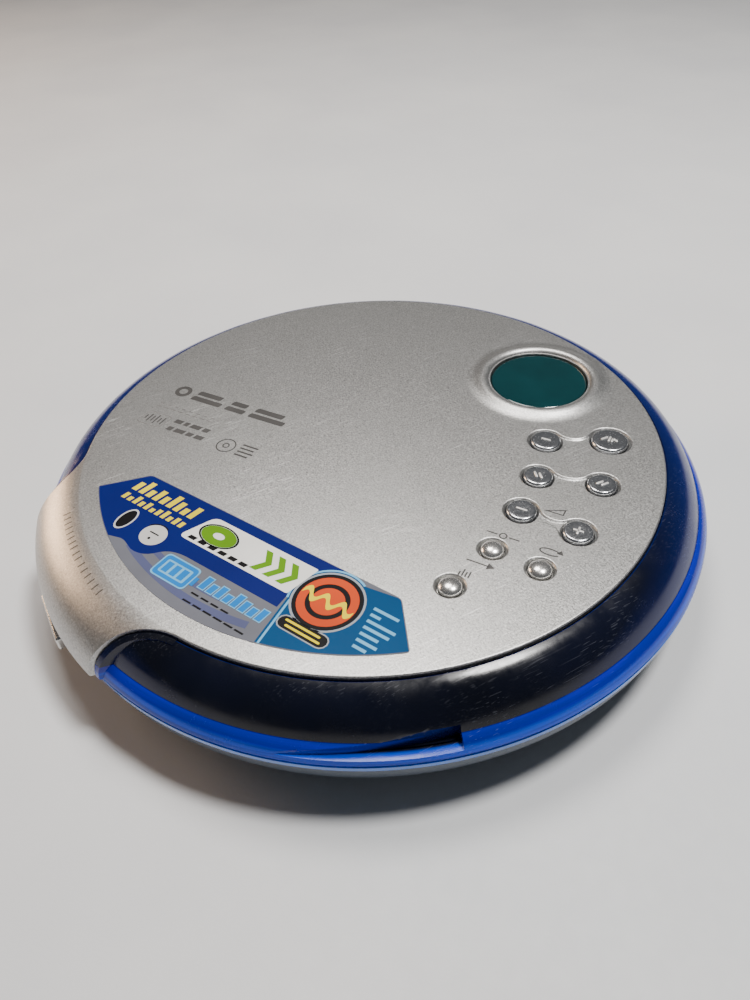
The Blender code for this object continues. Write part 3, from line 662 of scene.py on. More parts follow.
def tab_side(room=0.0):
    """The tab's right side from the round cover to past its lip, moved outwards by room."""
    centre_x = TAB_HALF + TAB_FILLET
    centre_y = -math.sqrt((COVER_RADIUS + TAB_FILLET) ** 2 - centre_x**2)
    turn = math.degrees(math.atan2(-centre_y, centre_x))
    side = arc((centre_x, centre_y), TAB_FILLET - room, 180 - turn, 180 - TAB_LEAN, 20)
    x, y = side[-1]
    side.append((x - (y - BEYOND_Y) * math.tan(math.radians(TAB_LEAN)), BEYOND_Y))
    return turn, side


def cover_outline():
    turn, side = tab_side()
    round_part = arc((0, 0), COVER_RADIUS, -turn, 180 + turn, 240)
    return round_part + [(-x, y) for x, y in side[1:]] + side[:0:-1]


def tab_opening(room=GAP, inner_radius=COVER_RADIUS - 1.5):
    """The outline of what the tab takes up, with room round it."""
    turn, side = tab_side(room)
    round_part = arc((0, 0), inner_radius, 180 + turn, 360 - turn, 40)
    return round_part + side + [(-x, y) for x, y in reversed(side)]


def switch_room():
    """The space inside the lid that its switch reaches up into."""
    return block((-23.8, -61.0, 13.9), (-20.0, -57.2, 17.8), 0)


def channel_outline(first, second, grow):
    """The groove between two key recesses, narrow in the middle and flared at both ends."""
    start, end = Vector(polar(*KEYS[first][:2])), Vector(polar(*KEYS[second][:2]))
    way = (end - start).normalized()
    side = way.orthogonal()
    length = (end - start).length
    near, far = KEYS[first][3], KEYS[second][3]
    neck = 0.52
    upper, lower = [], []
    for n in range(25):
        s = n / 24
        inset = near * 0.80 + (length - (near + far) * 0.80) * s
        flare = (near if s < 0.5 else far) * 0.60 - neck
        width = neck + flare * abs(1 - 2 * s) ** 2.4 + grow
        centre = start + way * inset
        upper.append(tuple(centre + side * width))
        lower.append(tuple(centre - side * width))
    return upper + lower[::-1]


def build_cover():
    centre, reach = (DOME_START, RING_BOTTOM), TAB_RADIUS - DOME_START
    outer = arc(centre, (reach, DOME_DROP), 90, 3, 26)
    inner = arc(centre, (reach - TAB_WALL, 9.0), 0, 90, 12)
    lip = bend(outer[-1], (TAB_RADIUS, RING_BOTTOM), (TAB_RADIUS - 0.5, RING_BOTTOM), 4)[1:]
    top = [(0, DOME_TOP), (30, DOME_TOP), (50, DOME_TOP)]
    dome = lathe([*top, *outer, *lip, *inner, (0, 23.2)], 288)
    shape = plate([cover_outline()], 10, COVER_TOP, 0.3, 3)
    cover = combine(dome, "INTERSECT", shape)
    crest = [
        (0, 24.4), (11.2, 24.4), (11.3, 24.55), (11.55, 24.85), (11.95, 25.08), (12.45, 25.18),
        (13.0, 25.12), (13.6, 24.9), (14.2, 24.63), (14.9, 24.4), (15.6, 24.26), (16.5, 24.19),
        (16.5, 24.0), (0, 24.0),
    ]
    cover = fuse(cover, lathe(crest, 128, DISPLAY))
    for side in (-1, 1):
        cheek = lathe([*top, *outer, *lip, (0, RING_BOTTOM)], 288)
        edge = tab_side(-0.02)[1][-9:] + tab_side(-TAB_WALL)[1][:-10:-1]
        strip = plate([[(side * x, y) for x, y in edge]], RING_BOTTOM + 0.1, COVER_TOP - 0.2)
        cover = fuse(cover, combine(cheek, "INTERSECT", strip))
    grooves = []
    levels = [(-0.22, 23.80), (-0.12, 23.83), (0.22, 24.1), (0.42, 24.21), (0.46, 24.5)]
    for first, second in PAIRS:
        grooves.append(loft([(channel_outline(first, second, grow), z) for grow, z in levels]))
    cover = cut(cover, *grooves)
    cutters = [lathe([(0, 26), (10.9, 26), (10.9, 22), (0, 22)], 96, DISPLAY)]
    for distance, angle, radius, recess in KEYS.values():
        bowl = [(recess + 0.62, 24.6), (recess + 0.50, 24.24)]
        bowl += bend((recess + 0.42, 24.2), (recess + 0.05, 24.02), (recess - 0.08, 23.70), 4)
        bowl += [(radius + 0.22, 23.45), (radius + 0.22, 22), (0, 22)]
        cutters.append(lathe([(0, 24.6), *bowl], 56, polar(distance, angle)))
    cover = cut(cover, *cutters, switch_room())
    finish(cover, "Lid_Cover", "lid", "cover")


def build_ring():
    edge = (66.8, 17.4)
    top = bend((60.0, 23.55), (64.6, 22.6), edge, 18)
    wall = bend(edge, (68.3, 16.7), (SEAM_RADIUS, RING_BOTTOM + 0.3), 8)[1:]
    foot = bend(wall[-1], (SEAM_RADIUS, RING_BOTTOM), (SEAM_RADIUS - 0.4, RING_BOTTOM), 3)[1:]
    inside = bend((SEAM_RADIUS - 1.6, RING_BOTTOM), (66.6, 16.4), (65.2, 16.9), 6)
    under = bend((65.2, 16.9), (63.6, 20.6), (60.0, 21.7), 10)[1:]
    section = [(56.5, 22.7), (59.7, 22.7), (59.75, 23.3)]
    section += [*top, *wall, *foot, *inside, *under, (56.5, 21.7)]
    rim = lathe(section, 288, closed=True)
    start, step, steps = 317.0, 343.0, 30  # the finger scoop runs out towards start and ends in a step
    backing = arc((0, 0), 66.6, start - 1, step + 2, steps)
    backing += arc((0, 0), 64.2, step + 2, start - 1, steps)
    floor = []
    for n in range(steps + 1):
        share = n / steps
        floor.append(polar(SEAM_RADIUS - 3.2 * share**0.7, step + (start - step) * (1 - share)))
    scoop = floor + arc((0, 0), SEAM_RADIUS + 2, step, start, steps)
    rim = fuse(rim, plate([backing], 14.6, 17.0))
    rim = cut(rim, plate([tab_opening()], 10, 30), plate([scoop], 15.3, 18.6))
    skin = arc((DOME_START, RING_BOTTOM), (11.5, 9.6), 90, 3, 26)
    border = lathe([(0, 23.8), *skin, (69.5, 14.3), (0, 14.3)], 288)
    border = combine(border, "INTERSECT", plate([tab_opening(GAP + TAB_WALL)], 10, 30))
    border = cut(border, plate([tab_opening(GAP + 0.02, COVER_RADIUS - 4)], 9, 31), switch_room())
    finish(joined(rim, border), "Lid_Clear_Rim", "lid", "clear", "lid_ring")


def build_display():
    glass = [(0, 24.25), (10.6, 24.12, 0.5), (10.6, 22.9), (12.4, 22.9), (12.4, 22.3), (0, 22.3)]
    finish(lathe(rounded(glass, 0.1), 96, DISPLAY), "Display_Window", "lid", "window", "display_lens")


def placed(points, place, turn=READING):
    """Marks drawn along (u, v), turned to the reading direction and moved to a place."""
    c, s = math.cos(math.radians(turn)), math.sin(math.radians(turn))
    return [(place[0] + u * c - v * s, place[1] + u * s + v * c) for u, v in points]


def bar(start, end, width):
    """A stroke with round ends."""
    start, end = Vector(start), Vector(end)
    turn = math.degrees(math.atan2(end.y - start.y, end.x - start.x))
    head = arc(tuple(end), width / 2, turn - 90, turn + 90, 6)
    return head + arc(tuple(start), width / 2, turn + 90, turn + 270, 6)


def build_keys():
    top = KEY_TOP
    for name, (distance, angle, radius, _) in KEYS.items():
        place = polar(distance, angle)
        flange = radius + 0.6
        if name in DOMED:
            crown = [(0, top + 0.38)]
            crown += arc((0, top - 0.75), (radius, 1.13), 80, 8, 10)
        else:
            crown = [(0, top - 0.06), (radius * 0.5, top - 0.03)]
            crown += bend((radius - 0.62, top), (radius - 0.02, top - 0.02), (radius, top - 0.62), 6)
        skirt = [(radius, 22.95), (flange, 22.9), (flange, 22.62), (0, 22.6)]
        key = lathe([*crown, *skirt], 56, place)
        marks = []
        for start, end in KEY_MARKS.get(name, []):
            mark = plate([placed(bar(start, end, 0.42), place)], top - 0.5, top + 0.16, 0.06)
            mark.data.attributes.new("material_index", "INT", "FACE")
            for face in mark.data.polygons:
                face.material_index = 1
            marks.append(mark)
        if marks:
            key = joined(key, *marks)
        surfaces = [SURFACES["key" if name in DOMED else "key_top"], SURFACES["key_mark"]]
        show(key, "Key_" + name, "key_" + name, surfaces, "key_silver", "key_" + name)


def slanted(u, v, width, height, lean=0.0):
    """A bar from its lower left corner, with its top leaning along u."""
    return [(u, v), (u + width, v), (u + width + lean, v + height), (u + lean, v + height)]


def circle(place, outer, inner=None, steps=40):
    """A disc, or a ring if there is an inner radius."""
    outlines = [arc(place, outer, 0, 360, steps)[:-1]]
    if inner:
        outlines.append(arc(place, inner, 0, 360, steps)[:-1])
    return outlines


def printed(name, kind, shapes, low, depth, turn=READING, bevel=0.0):
    """Flat marks as one piece. Each shape is a list of outlines in reading coordinates."""
    made = []
    for outlines in shapes:
        turned = [placed(outline, (0, 0), turn) for outline in outlines]
        made.append(plate(turned, low, low + depth, bevel))
    finish(joined(*made), name, "lid", kind)


def label(name, kind, shapes, low, depth=0.015, bevel=0.0):
    """One colour of the sticker, as a thin layer over the ones below it."""
    printed("Label_" + name, kind, shapes, low, depth, LABEL_TURN, bevel)


def row(u, v, pitch, count, width, height, lean=0.0):
    """Equal bars side by side."""
    return [[slanted(u + pitch * n, v, width, height, lean)] for n in range(count)]


def upright(u, v, pitch, heights, width, both=False):
    """Upright strokes side by side, each from v upwards or with both set from below v to above it."""
    places = [(u + pitch * n, h) for n, h in enumerate(heights)]
    return [[bar((here, v - h if both else v), (here, v + h), width)] for here, h in places]


def label_arc(radius, start, end, steps=60):
    """Part of a circle round the lid's centre in the label's own coordinates."""
    return arc((0, 0), radius, start - LABEL_TURN, end - LABEL_TURN, steps)


def build_label():
    rim = label_arc(55.5, 253.3, 337.7)
    rim = [(*rim[0], 0.8), *rim[1:-1], (*rim[-1], 0.8)]
    edge = rounded(rim + [(30.0, -32.6, 0.9), (-30.5, -33.0, 0.9)], 0, 5, closed=True)
    label("Base", "haze", [[edge]], LABEL_LOW, 0.07, 0.02)
    first = LABEL_LOW + 0.072
    second = first + 0.021
    third = second + 0.021

    disc = LABEL_DISC
    navy = [(-30.3, -33.15, 0.7), (20.8, -32.8)] + arc(disc, 6.9, 200, 60, 24)[:3:-1]
    navy += [(13.4, -45.6), (-8.0, -45.6)] + bend((-8.0, -45.6), (-11.5, -45.7), (-13.0, -47.4), 5)
    navy += bend((-13.0, -47.4), (-15.0, -50.2), (-18.2, -49.8), 6) + [(-21.5, -48.7, 1.0), (-24.6, -49.6)]
    navy += label_arc(55.35, 270.8, 253.6, 14)
    label("Navy", "navy", [[rounded(navy, 0, 4, closed=True)]], first, 0.02)
    teal = arc(disc, 7.0, 205, 62, 24) + [(29.9, -32.75, 0.7)] + label_arc(55.3, 337.5, 311.3, 24)
    label("Teal", "teal", [[rounded(teal, 0, 4, closed=True)]], first, 0.02)
    outline = arc(disc, 7.25, 205, 62, 24) + arc(disc, 6.85, 62, 205, 24)
    slope = [(14.0, -43.2), (15.5, -53.15), (15.9, -53.1), (14.4, -43.0)]
    label("Pale_Line", "pale_cyan", [[outline], [slope]], first + 0.02, 0.01)
    bands = []
    for radius, width in ((53.4, 1.5), (50.2, 1.2)):
        outside = label_arc(radius, 274.0, 308.5, 24)
        bands.append([outside + label_arc(radius - width, 308.5, 274.0, 24)])
    label("Lilac", "lilac", bands, first)

    capsule = [(-13.4, -42.4), (12.9, -42.4, 0.4), (14.2, -35.1, 0.4), (-10.6, -35.1)]
    label("White", "white", [[rounded(capsule, 1.5, 6, closed=True)]], second, 0.02)
    green = []
    for u in (3.2, 6.2, 9.2):
        low, high = [(u, -41.3), (u + 1.5, -41.3)], [(u + 1.5, -36.3), (u, -36.3)]
        green.append([[*low, (u + 3.2, -38.8), *high, (u + 1.7, -38.8)]])
    green.append(circle((-6.6, -38.6), (4.0, 2.3), (1.3, 0.75)))
    label("Green", "green", green, third)
    dashes = row(-11.6, -41.9, 2.5, 6, 1.7, 0.9, 0.3)
    dashes.append(circle((-6.6, -38.6), (4.5, 2.65), (4.05, 2.35)))
    label("Black_Marks", "black", dashes, third)

    yellow = []
    for n, tall in enumerate((0.7, 1.0, 0.55, 0.85, 0.6, 1.0, 0.75, 0.5, 0.9)):
        yellow.append([slanted(-30.9 + 1.9 * n, -38.1, 1.25, 3.6 * tall, 0.5 * tall)])
    for n, tall in enumerate((0.8, 0.55, 1.0, 0.65, 0.9, 0.5, 0.75, 1.0, 0.6, 0.85, 0.7)):
        yellow.append([slanted(-30.9 + 1.55 * n, -40.9, 0.95, 2.1 * tall, 0.3 * tall)])
    label("Yellow_Bars", "yellow", yellow, second)
    front, side = (-17.3, -45.0), (-25.0, -44.7)
    light = [circle(front, (2.75, 2.6)), circle(side, (1.7, 2.9), (1.35, 2.5))]
    label("Earpiece_Light", "silver", light, second)
    dark = [circle(side, (1.3, 2.45)), [bar((-18.4, -44.6), (-16.4, -44.6), 0.3)]]
    dark.append(circle((-17.4, -46.0), 0.3))
    dark.append([arc(front, (3.1, 2.9), 60, 150, 12) + arc(front, (2.85, 2.65), 150, 60, 12)])
    label("Earpiece_Dark", "black", dark, third, 0.012)

    halo = [[rectangle((-11.3, -51.9), (-2.9, -46.5), 1.0, 4)]]
    cell = rectangle((-11.0, -51.6), (-3.2, -46.8), 0.9, 4)
    hollow = rectangle((-10.2, -50.8), (-4.0, -47.6), 0.4, 3)
    cyan = [[cell, hollow], [slanted(-2.9, -50.2, 0.8, 2.0)], *row(-9.7, -50.4, 1.9, 3, 1.3, 2.4)]
    for n, tall in enumerate((1.0, 0.7, 0.9, 0.6, 1.0, 0.8, 0.65, 0.9)):
        halo.append([slanted(-1.3 + 1.85 * n, -49.9, 1.6, 2.9 * tall + 0.3, 0.2)])
        cyan.append([slanted(-1.1 + 1.85 * n, -49.7, 1.2, 2.8 * tall, 0.2)])
    label("Halo", "pale_cyan", halo, second, 0.012)
    label("Cyan", "cyan", cyan, third, 0.012)

    pill = bar((16.6, -47.3), (24.0, -47.3), 2.5)
    small = row(-1.2, -51.4, 2.3, 4, 1.7, 0.35, 0.1) + row(-1.4, -53.3, 2.4, 6, 1.9, 0.35, 0.1)
    label("Black", "black", [circle(disc, 6.15), [pill], *small], second)
    grey = [circle(disc, 6.6, 6.2), [bar((16.6, -47.3), (24.0, -47.3), 3.0), pill[::-1]]]
    label("Grey_Line", "grey", grey, second, 0.013)
    label("Orange", "orange", [circle(disc, 5.4, 3.9), circle(disc, 3.0)], third, 0.012)
    wave = [(0.2 * n - 5.2, 0.95 * math.sin(math.tau * n / 17.5)) for n in range(53)]
    ripple = [(disc[0] + u, disc[1] + v + 0.6) for u, v in wave]
    ripple += [(disc[0] + u, disc[1] + v - 0.6) for u, v in reversed(wave)]
    strips = [[bar((16.6, -46.8), (23.4, -46.8), 0.45)], [bar((17.2, -47.8), (24.0, -47.8), 0.45)]]
    label("Yellow_Wave", "yellow", [[ripple], *strips], third + 0.014, 0.012)
    lines = []
    for n, width in enumerate((5.0, 2.0, 5.6, 5.0, 3.6, 4.0, 2.6)):
        lines.append([slanted(27.3 + 0.25 * n, -37.2 - 1.35 * n, width, 0.6)])
    label("Pale_Lines", "pale_cyan", lines, second, 0.01)


def build_prints():
    """Plain marks on the lid: a bold strip, thin lines, two badges and a sign by each small key."""
    bold = [circle((-47.3, -2.4), 2.0, 1.0)]
    for u, width in ((-44.2, 8.0), (-34.8, 5.0), (-28.4, 9.0)):
        bold.append([rounded(slanted(u, -4.2, width, 1.5, 0.3), 0.4, 3, closed=True)])
        bold.append([rounded(slanted(u + 0.5, -2.1, width * 0.8, 1.5, 0.3), 0.4, 3, closed=True)])
    printed("Print_Bold_Strip", "ink", bold, COVER_TOP, PRINT)
    thin = row(-49.6, -9.4, 2.0, 8, 1.4, 0.28, 0.1) + row(-49.3, -8.3, 2.0, 8, 1.0, 0.28, 0.1)
    thin.append([
        rounded(slanted(-50.1, -16.0, 6.6, 4.6, 0.6), 1.2, 4, closed=True),
        rounded(slanted(-49.85, -15.75, 6.1, 4.1, 0.55), 1.0, 4, closed=True),
    ])
    printed("Print_Thin_Lines", "ink_grey", thin, COVER_TOP, PRINT)
    marks = upright(-48.8, -13.6, 0.9, (0.5, 1.2, 0.8, 1.4, 0.7, 1.1), 0.35, both=True)
    for line, widths in ((-12.9, (2.0, 1.2, 2.6, 1.6)), (-15.6, (1.4, 2.6, 1.6, 2.2))):
        u = -42.0
        for width in widths:
            marks.append([slanted(u, line, width, 1.3, 0.3)])
            u += width + 0.6
    marks += [circle((-26.4, -14.6), 2.2, 1.9), circle((-26.4, -14.6), 0.8, 0.5)]
    for n, width in enumerate((3.2, 3.8, 3.4, 3.8)):
        marks.append([slanted(-23.2, -16.4 + 1.1 * n, width, 0.45)])
    printed("Print_Badges", "ink", marks, COVER_TOP, PRINT)

    ramp = [[(-2.0, -0.9), (2.0, -0.9), (2.0, 0.9)], [(-0.9, -0.62), (1.7, -0.62), (1.7, 0.48)]]
    node = [[bar((-3.0, 0), (-1.2, 0), 0.3)], circle((0, 0), 0.8, 0.5, 20), [bar((1.2, 0), (3.0, 0), 0.3)]]
    arrow = [[bar((-2.6, 0), (1.4, 0), 0.3)], [[(1.2, -0.8), (2.6, 0), (1.2, 0.8)]]]
    loop = arc((0, 0), (2.0, 0.9), 30, 330, 24) + arc((0, 0), (1.7, 0.6), 330, 30, 24)
    repeat = [[loop], [[(1.1, 0.1), (2.4, 0.1), (1.8, 1.2)]]]
    levels = upright(-0.9, -0.8, 0.6, (0.7, 1.5, 1.0, 1.3), 0.3)
    signs = []
    for distance, angle, shapes in ((41.8, 26.9, [ramp]), (38.4, 10.1, node), (41.4, 359.1, arrow),
                                    (46.8, 14.0, repeat), (41.9, 354.3, levels)):
        place = polar(distance, angle)
        for outlines in shapes:
            outlines = [placed(outline, place) for outline in outlines]
            signs.append(plate(outlines, COVER_TOP, COVER_TOP + PRINT))
    finish(joined(*signs), "Print_Key_Signs", "lid", "ink")


def build_tab_ticks():
    """A row of thin strokes printed round the tab, laid on its curve."""
    outline = []
    for radius in (61.0, 61.75, 62.5):
        rise = math.sqrt(1 - ((radius - DOME_START) / (TAB_RADIUS - DOME_START)) ** 2)
        outline.append((radius, RING_BOTTOM + DOME_DROP * rise + PRINT))
    strokes = []
    for first, last, count in ((259.3, 268.6, 8), (270.2, 271.6, 2), (273.4, 281.2, 6)):
        for n in range(count):
            angle = first + (last - first) * n / (count - 1)
            strokes.append(stroke_on_dome(outline, angle, 0.28))
    finish(joined(*strokes), "Print_Tab_Strokes", "lid", "ink")


def stroke_on_dome(outline, angle, width):
    """A thin stroke that runs outwards at an angle, through (radius, height) points."""
    vertices, faces = [], []
    half = math.degrees(width / 2 / 61.7)
    for radius, height in outline:
        for side in (-half, half):
            for lift in (0.0, -0.03):
                vertices.append((*polar(radius, angle + side), height + lift))
    count = len(outline)
    for n in range(count - 1):
        a, b = 4 * n, 4 * n + 4
        faces += [(a, a + 2, b + 2, b), (a + 1, b + 1, b + 3, a + 3)]
        faces += [(a, b, b + 1, a + 1), (a + 2, a + 3, b + 3, b + 2)]
    last = 4 * count - 4
    faces += [(0, 1, 3, 2), (last, last + 2, last + 3, last + 1)]
    made = from_faces(vertices, faces)
    weld(made)
    return made


# ---------------------------------------------------------------- base


def hinge_room():
    return rod_x(HINGE_Y, HINGE_Z, -18.5, 18.5, 3.6, 48)


def build_base():
    centre, reach = (FLOOR_RADIUS, CASE_TOP), CASE_RADIUS - FLOOR_RADIUS
    outside = arc(centre, (reach, CASE_TOP - 1.2), 0, -90, 28)
    inside = arc(centre, (reach - 1.5, CASE_TOP - 2.7), -90, 0, 14)
    shell = lathe([(0, 2.7), *inside, *outside, (0, 1.2)], 256)
    cutters = [block((-28.3, -44.1, 0), (28.3, -14.5, 4), 0)]
    for place in FEET:
        cutters.append(lathe([(0, 1.9), (4.3, 1.9), (4.3, 0), (0, 0)], 48, place))
    for place in SCREWS:
        cutters.append(lathe([(0, 9), (2.5, 9), (2.5, 1.3), (3.0, 0.9), (0, 0.9)], 40, place))
    shell = cut(shell, *cutters)
    slot = block((-5.5, -72, 8.9), (8.5, -65, 11.1), 0.4)
    switch = block((-72, -2.4, 7.1), (-62, 4.4, 9.5), 0.5)
    sockets = [rod_x(9, JACK_Z, -72, -58, 2.9, 48), rod_x(-9, JACK_Z, -72, -58, 3.5, 48)]
    shell = cut(shell, hinge_room(), slot, switch, *sockets)
    finish(shell, "Base_Case", "base", "case", "bottom_case")
    low, high = 12.9, 13.9
    band = rounded([(67.2, high), (SEAM_RADIUS, high), (SEAM_RADIUS, low), (67.2, low)], 0.16, closed=True)
    trim = cut(lathe(band, 256, closed=True), hinge_room())
    finish(trim, "Base_Trim_Band", "base", "trim", "base_trim_ring")
    knob = block((-6, -70.9, 8.4), (7, -68.85, 11.6), 0.5, 3)
    stem = block((-2.2, -69, 9.2), (2.2, -64.2, 10.8), 0.1)
    guide = block((-7, -64.9, 9.4), (7, -64.1, 11.9), 0.1)
    tongue = block((2.9, -64.5, 10.7), (6.5, -61.8, 11.9), 0.1)
    finish(joined(knob, stem, guide, tongue), "Open_Slider", "open_slider", "key")


def build_deck():
    top, low = DECK_TOP, DECK_LOW
    face = [(0, top), (60.4, top), (60.9, top - 0.3), (62.2, top - 0.3), (62.7, top)]
    edge = rounded([face[-1], (66.8, top), (66.8, low), (50, low)], 0.2)[1:]
    deck = lathe([*face, *edge, (0, low)], 192)
    levels = ((0.0, 13.0), (0.0, 17.2), (0.12, 17.6), (0.4, 17.92), (0.85, 18.1))
    hump = [(rectangle((-31.2 + g, -46.0 + g), (31.2 - g, -12.9 - g), 3.4 - g), z) for g, z in levels]
    deck = fuse(deck, loft(hump))
    for place in SCREWS:
        deck = fuse(deck, post(place, 3.0, 8.0, 13.2, 40, 0.2))
    rest = [(14.6, top + 0.35), (15.4, top + 0.35), (15.6, low + 0.2), (14.4, low + 0.2)]
    rest = lathe(rest, 128, closed=True)
    deck = fuse(deck, cut(rest, block((-60, SLOT_START, 12), (60, 62, 16), 0)))
    holes = [block((-30.2, -45.0, 11.5), (30.2, -13.9, 17.5), 0)]
    holes += [post(place, 1.3, 7.0, 12.9, 24) for place in SCREWS]
    holes.append(post((0, 0), 12.2, 5, 25, 96))
    holes.append(plate([rectangle((-7.2, SLOT_START), (7.2, SLOT_END), 1.2)], 5, 25))
    holes.append(block((-9.4, 60.3, 5), (9.4, 72, 25), 0))
    holes.append(block((-3.8, -64.4, 5), (3.2, -61.2, 25), 0))
    finish(cut(deck, *holes, hinge_room()), "Disc_Deck", "base", "deck")


def build_feet_and_screws():
    for n, place in enumerate(FEET, 1):
        profile = rounded([(0, 1.5), (4.0, 1.5), (4.0, 0), (2.7, 0), (2.5, 0.16), (0, 0.16)], 0.22)
        finish(lathe(profile, 64, place), f"Foot_{n}", "base", "rubber")
    for n, place in enumerate(SCREWS, 1):
        x, y = place
        profile = [(0, 12.6), (0.7, 12.6), (1.0, 12.2), (1.0, 3.9), (2.1, 3.9)]
        profile += [*bend((2.1, 2.8), (2.05, 2.25), (1.2, 2.2), 5), (0, 2.2)]
        arms = ((1.1, 0.25), (0.25, 1.1))
        cross = [block((x - u, y - v, 2.0), (x + u, y + v, 3.1), 0.05) for u, v in arms]
        screw = cut(lathe(profile, 40, place), *cross)
        finish(screw, f"Case_Screw_{n}", "base", "steel")


def build_hinge():
    y, z = HINGE_Y, HINGE_Z
    for name, side in (("left", -1), ("right", 1)):
        pin = rod_x(y, z, side * 5.0, side * 12.2, 0.8, 32, 0.15)
        finish(pin, f"Hinge_Pin_{name}", "base", "steel")
        near, far = sorted((side * 9.4, side * 12.4))
        lug = rod_x(y, z, side * 9.4, side * 12.4, 2.0, 48, 0.25)
        lug = fuse(lug, block((near, 64.9, 7.9), (far, 66.0, z), 0.1))
        bore = rod_x(y, z, side * 9.0, side * 12.3, 1.0)
        finish(cut(lug, bore), f"Hinge_Lug_{name}", "base", "case")
    barrel = rod_x(y, z, -9, 9, 2.0, 64, 0.25)
    barrel = fuse(barrel, block((-8, 60.7, 12.2), (8, 66.2, 13.4), 0.2))
    barrel = fuse(barrel, block((-8, 60.7, 12.25), (8, 61.9, 20.1), 0.25))
    bores = [rod_x(y, z, side * 4.6, side * 10, 1.1) for side in (-1, 1)]
    finish(cut(barrel, *bores), "Hinge_Knuckle", "lid", "clear")
    hook = block((-3, -63.8, 8.6), (1, -61.8, 20.1), 0.3)
    hook = fuse(hook, block((0.5, -63.8, 8.6), (2.6, -61.8, 9.9), 0.25))
    finish(hook, "Lid_Hook", "lid", "dark")
    spring = coil((7.0, -62.7, 11.1), (12.3, -62.7, 11.1), 0.9, 0.9, 4, 0.2)
    finish(spring, "Latch_Spring", "base", "steel")
    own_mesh(spring)


def build_power():
    bay = block((-29.5, -45.3, 2.4), (29.5, -13.3, 12.3), 0.2)
    bay = cut(bay, block((-28.6, -44.4, 0), (28.6, -14.2, 14), 0))
    finish(bay, "Battery_Bay", "base", "case")
    stud = [(0, 12.0), (0.9, 12.0), (1.2, 11.7), (1.2, 7.9), (3.0, 7.9), (3.1, 2.4), (0, 2.4)]
    sleeve = [(1.3, 7.7), (3.2, 7.7), (3.3, 2.4), (2.5, 2.4), (2.5, 4.2), (1.3, 4.2)]
    posts = [lathe(stud, 40, place) for place in DAMPERS]
    posts += [lathe(sleeve, 40, place, closed=True) for place in SCREWS]
    finish(joined(*posts), "Case_Posts", "base", "case")
    z, length = CELL_Z, 49.5
    for n, (y, side) in enumerate(((-21.8, 1), (-36.8, -1)), 1):
        profile = [(0, length + 1.0), (2.4, length + 1.0), (2.75, length + 0.8), (2.75, length - 0.05)]
        profile += [(6.2, length - 0.1), *bend((6.6, length), (7.25, length), (7.25, length - 0.7), 4)]
        profile += [(7.25, length - 2.4), (7.17, length - 2.5), (7.17, length - 2.8), (7.25, length - 2.9)]
        profile += [(7.25, 14.2), (7.17, 14.1), (7.17, 13.8), (7.25, 13.7)]
        profile += [*bend((7.25, 0.7), (7.25, 0), (6.5, 0.05), 4), (5.6, 0.3), (0, 0.3)]
        cell = along(lathe(profile, 96), (-side * 25.25, y, z), (side * 25.25, y, z))
        finish(cell, f"Battery_Cell_{n}", "base", "cell")
        spring = coil((-side * 25.7, y, z), (-side * 27.95, y, z), 2.2, 4.0, 2.5, 0.25)
        finish(spring, f"Battery_Spring_{n}", "base", "nickel")
        near, far = sorted((side * 25.55, side * 26.25))
        contact = block((near, y - 4, z - 4), (far, y + 4, z + 4), 0.12)
        finish(contact, f"Battery_Contact_{n}", "base", "nickel")
    door = plate([rectangle((-28.0, -43.8), (28.0, -14.8), 0.8)], 1.2, 2.4, 0.15)
    outline = rounded([(-9, -43.0), (9, -43.0), (7, -37.6), (-7, -37.6)], 1.6, 6, closed=True)
    levels = ((1.0, 1.0), (0.97, 1.3), (0.86, 1.5))
    dish = [([(x * share, -40.3 + (y + 40.3) * share) for x, y in outline], z) for share, z in levels]
    door = cut(door, loft(dish))
    ribs = [block((-5.6, y, 1.22), (5.6, y + 0.5, 1.7), 0.12) for y in (-42.0, -41.0, -40.0, -39.0)]
    arrow = plate([[(-1.8, -33.4), (1.8, -33.4), (0, -36.2)]], 1.16, 1.6)
    finish(joined(door, *ribs, arrow), "Battery_Door", "battery_door", "case")


def build_drive():
    can = rounded([(3, 10.3), (11, 10.3), (11, 5.0), (0, 5.0)], 0.8, 4)[1:]
    can = [(0, 5.6), (1.3, 5.6), (1.3, 10.3), *can]
    finish(lathe(can, 96), "Spindle_Motor", "base", "steel")
    finish(post((0, 0), 1.0, 5.9, 19.8, 32, 0.1), "Spindle_Shaft", "turntable", "steel")
    seat, top = 18.6, 20.6
    hub = [(0, top - 0.35), (1.6, top - 0.35), (2.0, top)]
    hub += bend((5.4, top), (7.1, top), (7.3, top - 1.0), 6)
    hub += [(7.3, seat - 0.4), (8.0, seat - 0.4), (8.0, seat), (11.3, seat), (11.5, seat - 0.2)]
    hub += [(11.5, seat - 1.1), (11.3, seat - 1.3), (4.5, seat - 1.3), (4.5, 12.4), (1.3, 12.4)]
    hub += [(1.3, 20.1), (0, 20.1)]
    slots, balls = [], []
    ball = [(math.sin(math.radians(a)), 19.75 + math.cos(math.radians(a))) for a in range(12, 180, 12)]
    for angle in (90, 210, 330):
        x, y = polar(6.4, angle)
        slots.append(block((x - 1.1, y - 1.1, seat + 0.3), (x + 1.1, y + 1.1, seat + 3), 0))
        balls.append(lathe([(0, 20.75), *ball, (0, 18.75)], 32, polar(6.25, angle)))
    finish(cut(lathe(hub, 128), *slots), "Turntable", "turntable", "dark")
    finish(joined(*balls), "Turntable_Clamp_Balls", "turntable", "steel")
    grip = [(8.4, seat + 0.02), (11.0, seat + 0.02), (11.0, seat - 0.1), (8.4, seat - 0.1)]
    finish(lathe(grip, 128, closed=True), "Turntable_Grip_Ring", "turntable", "rubber")


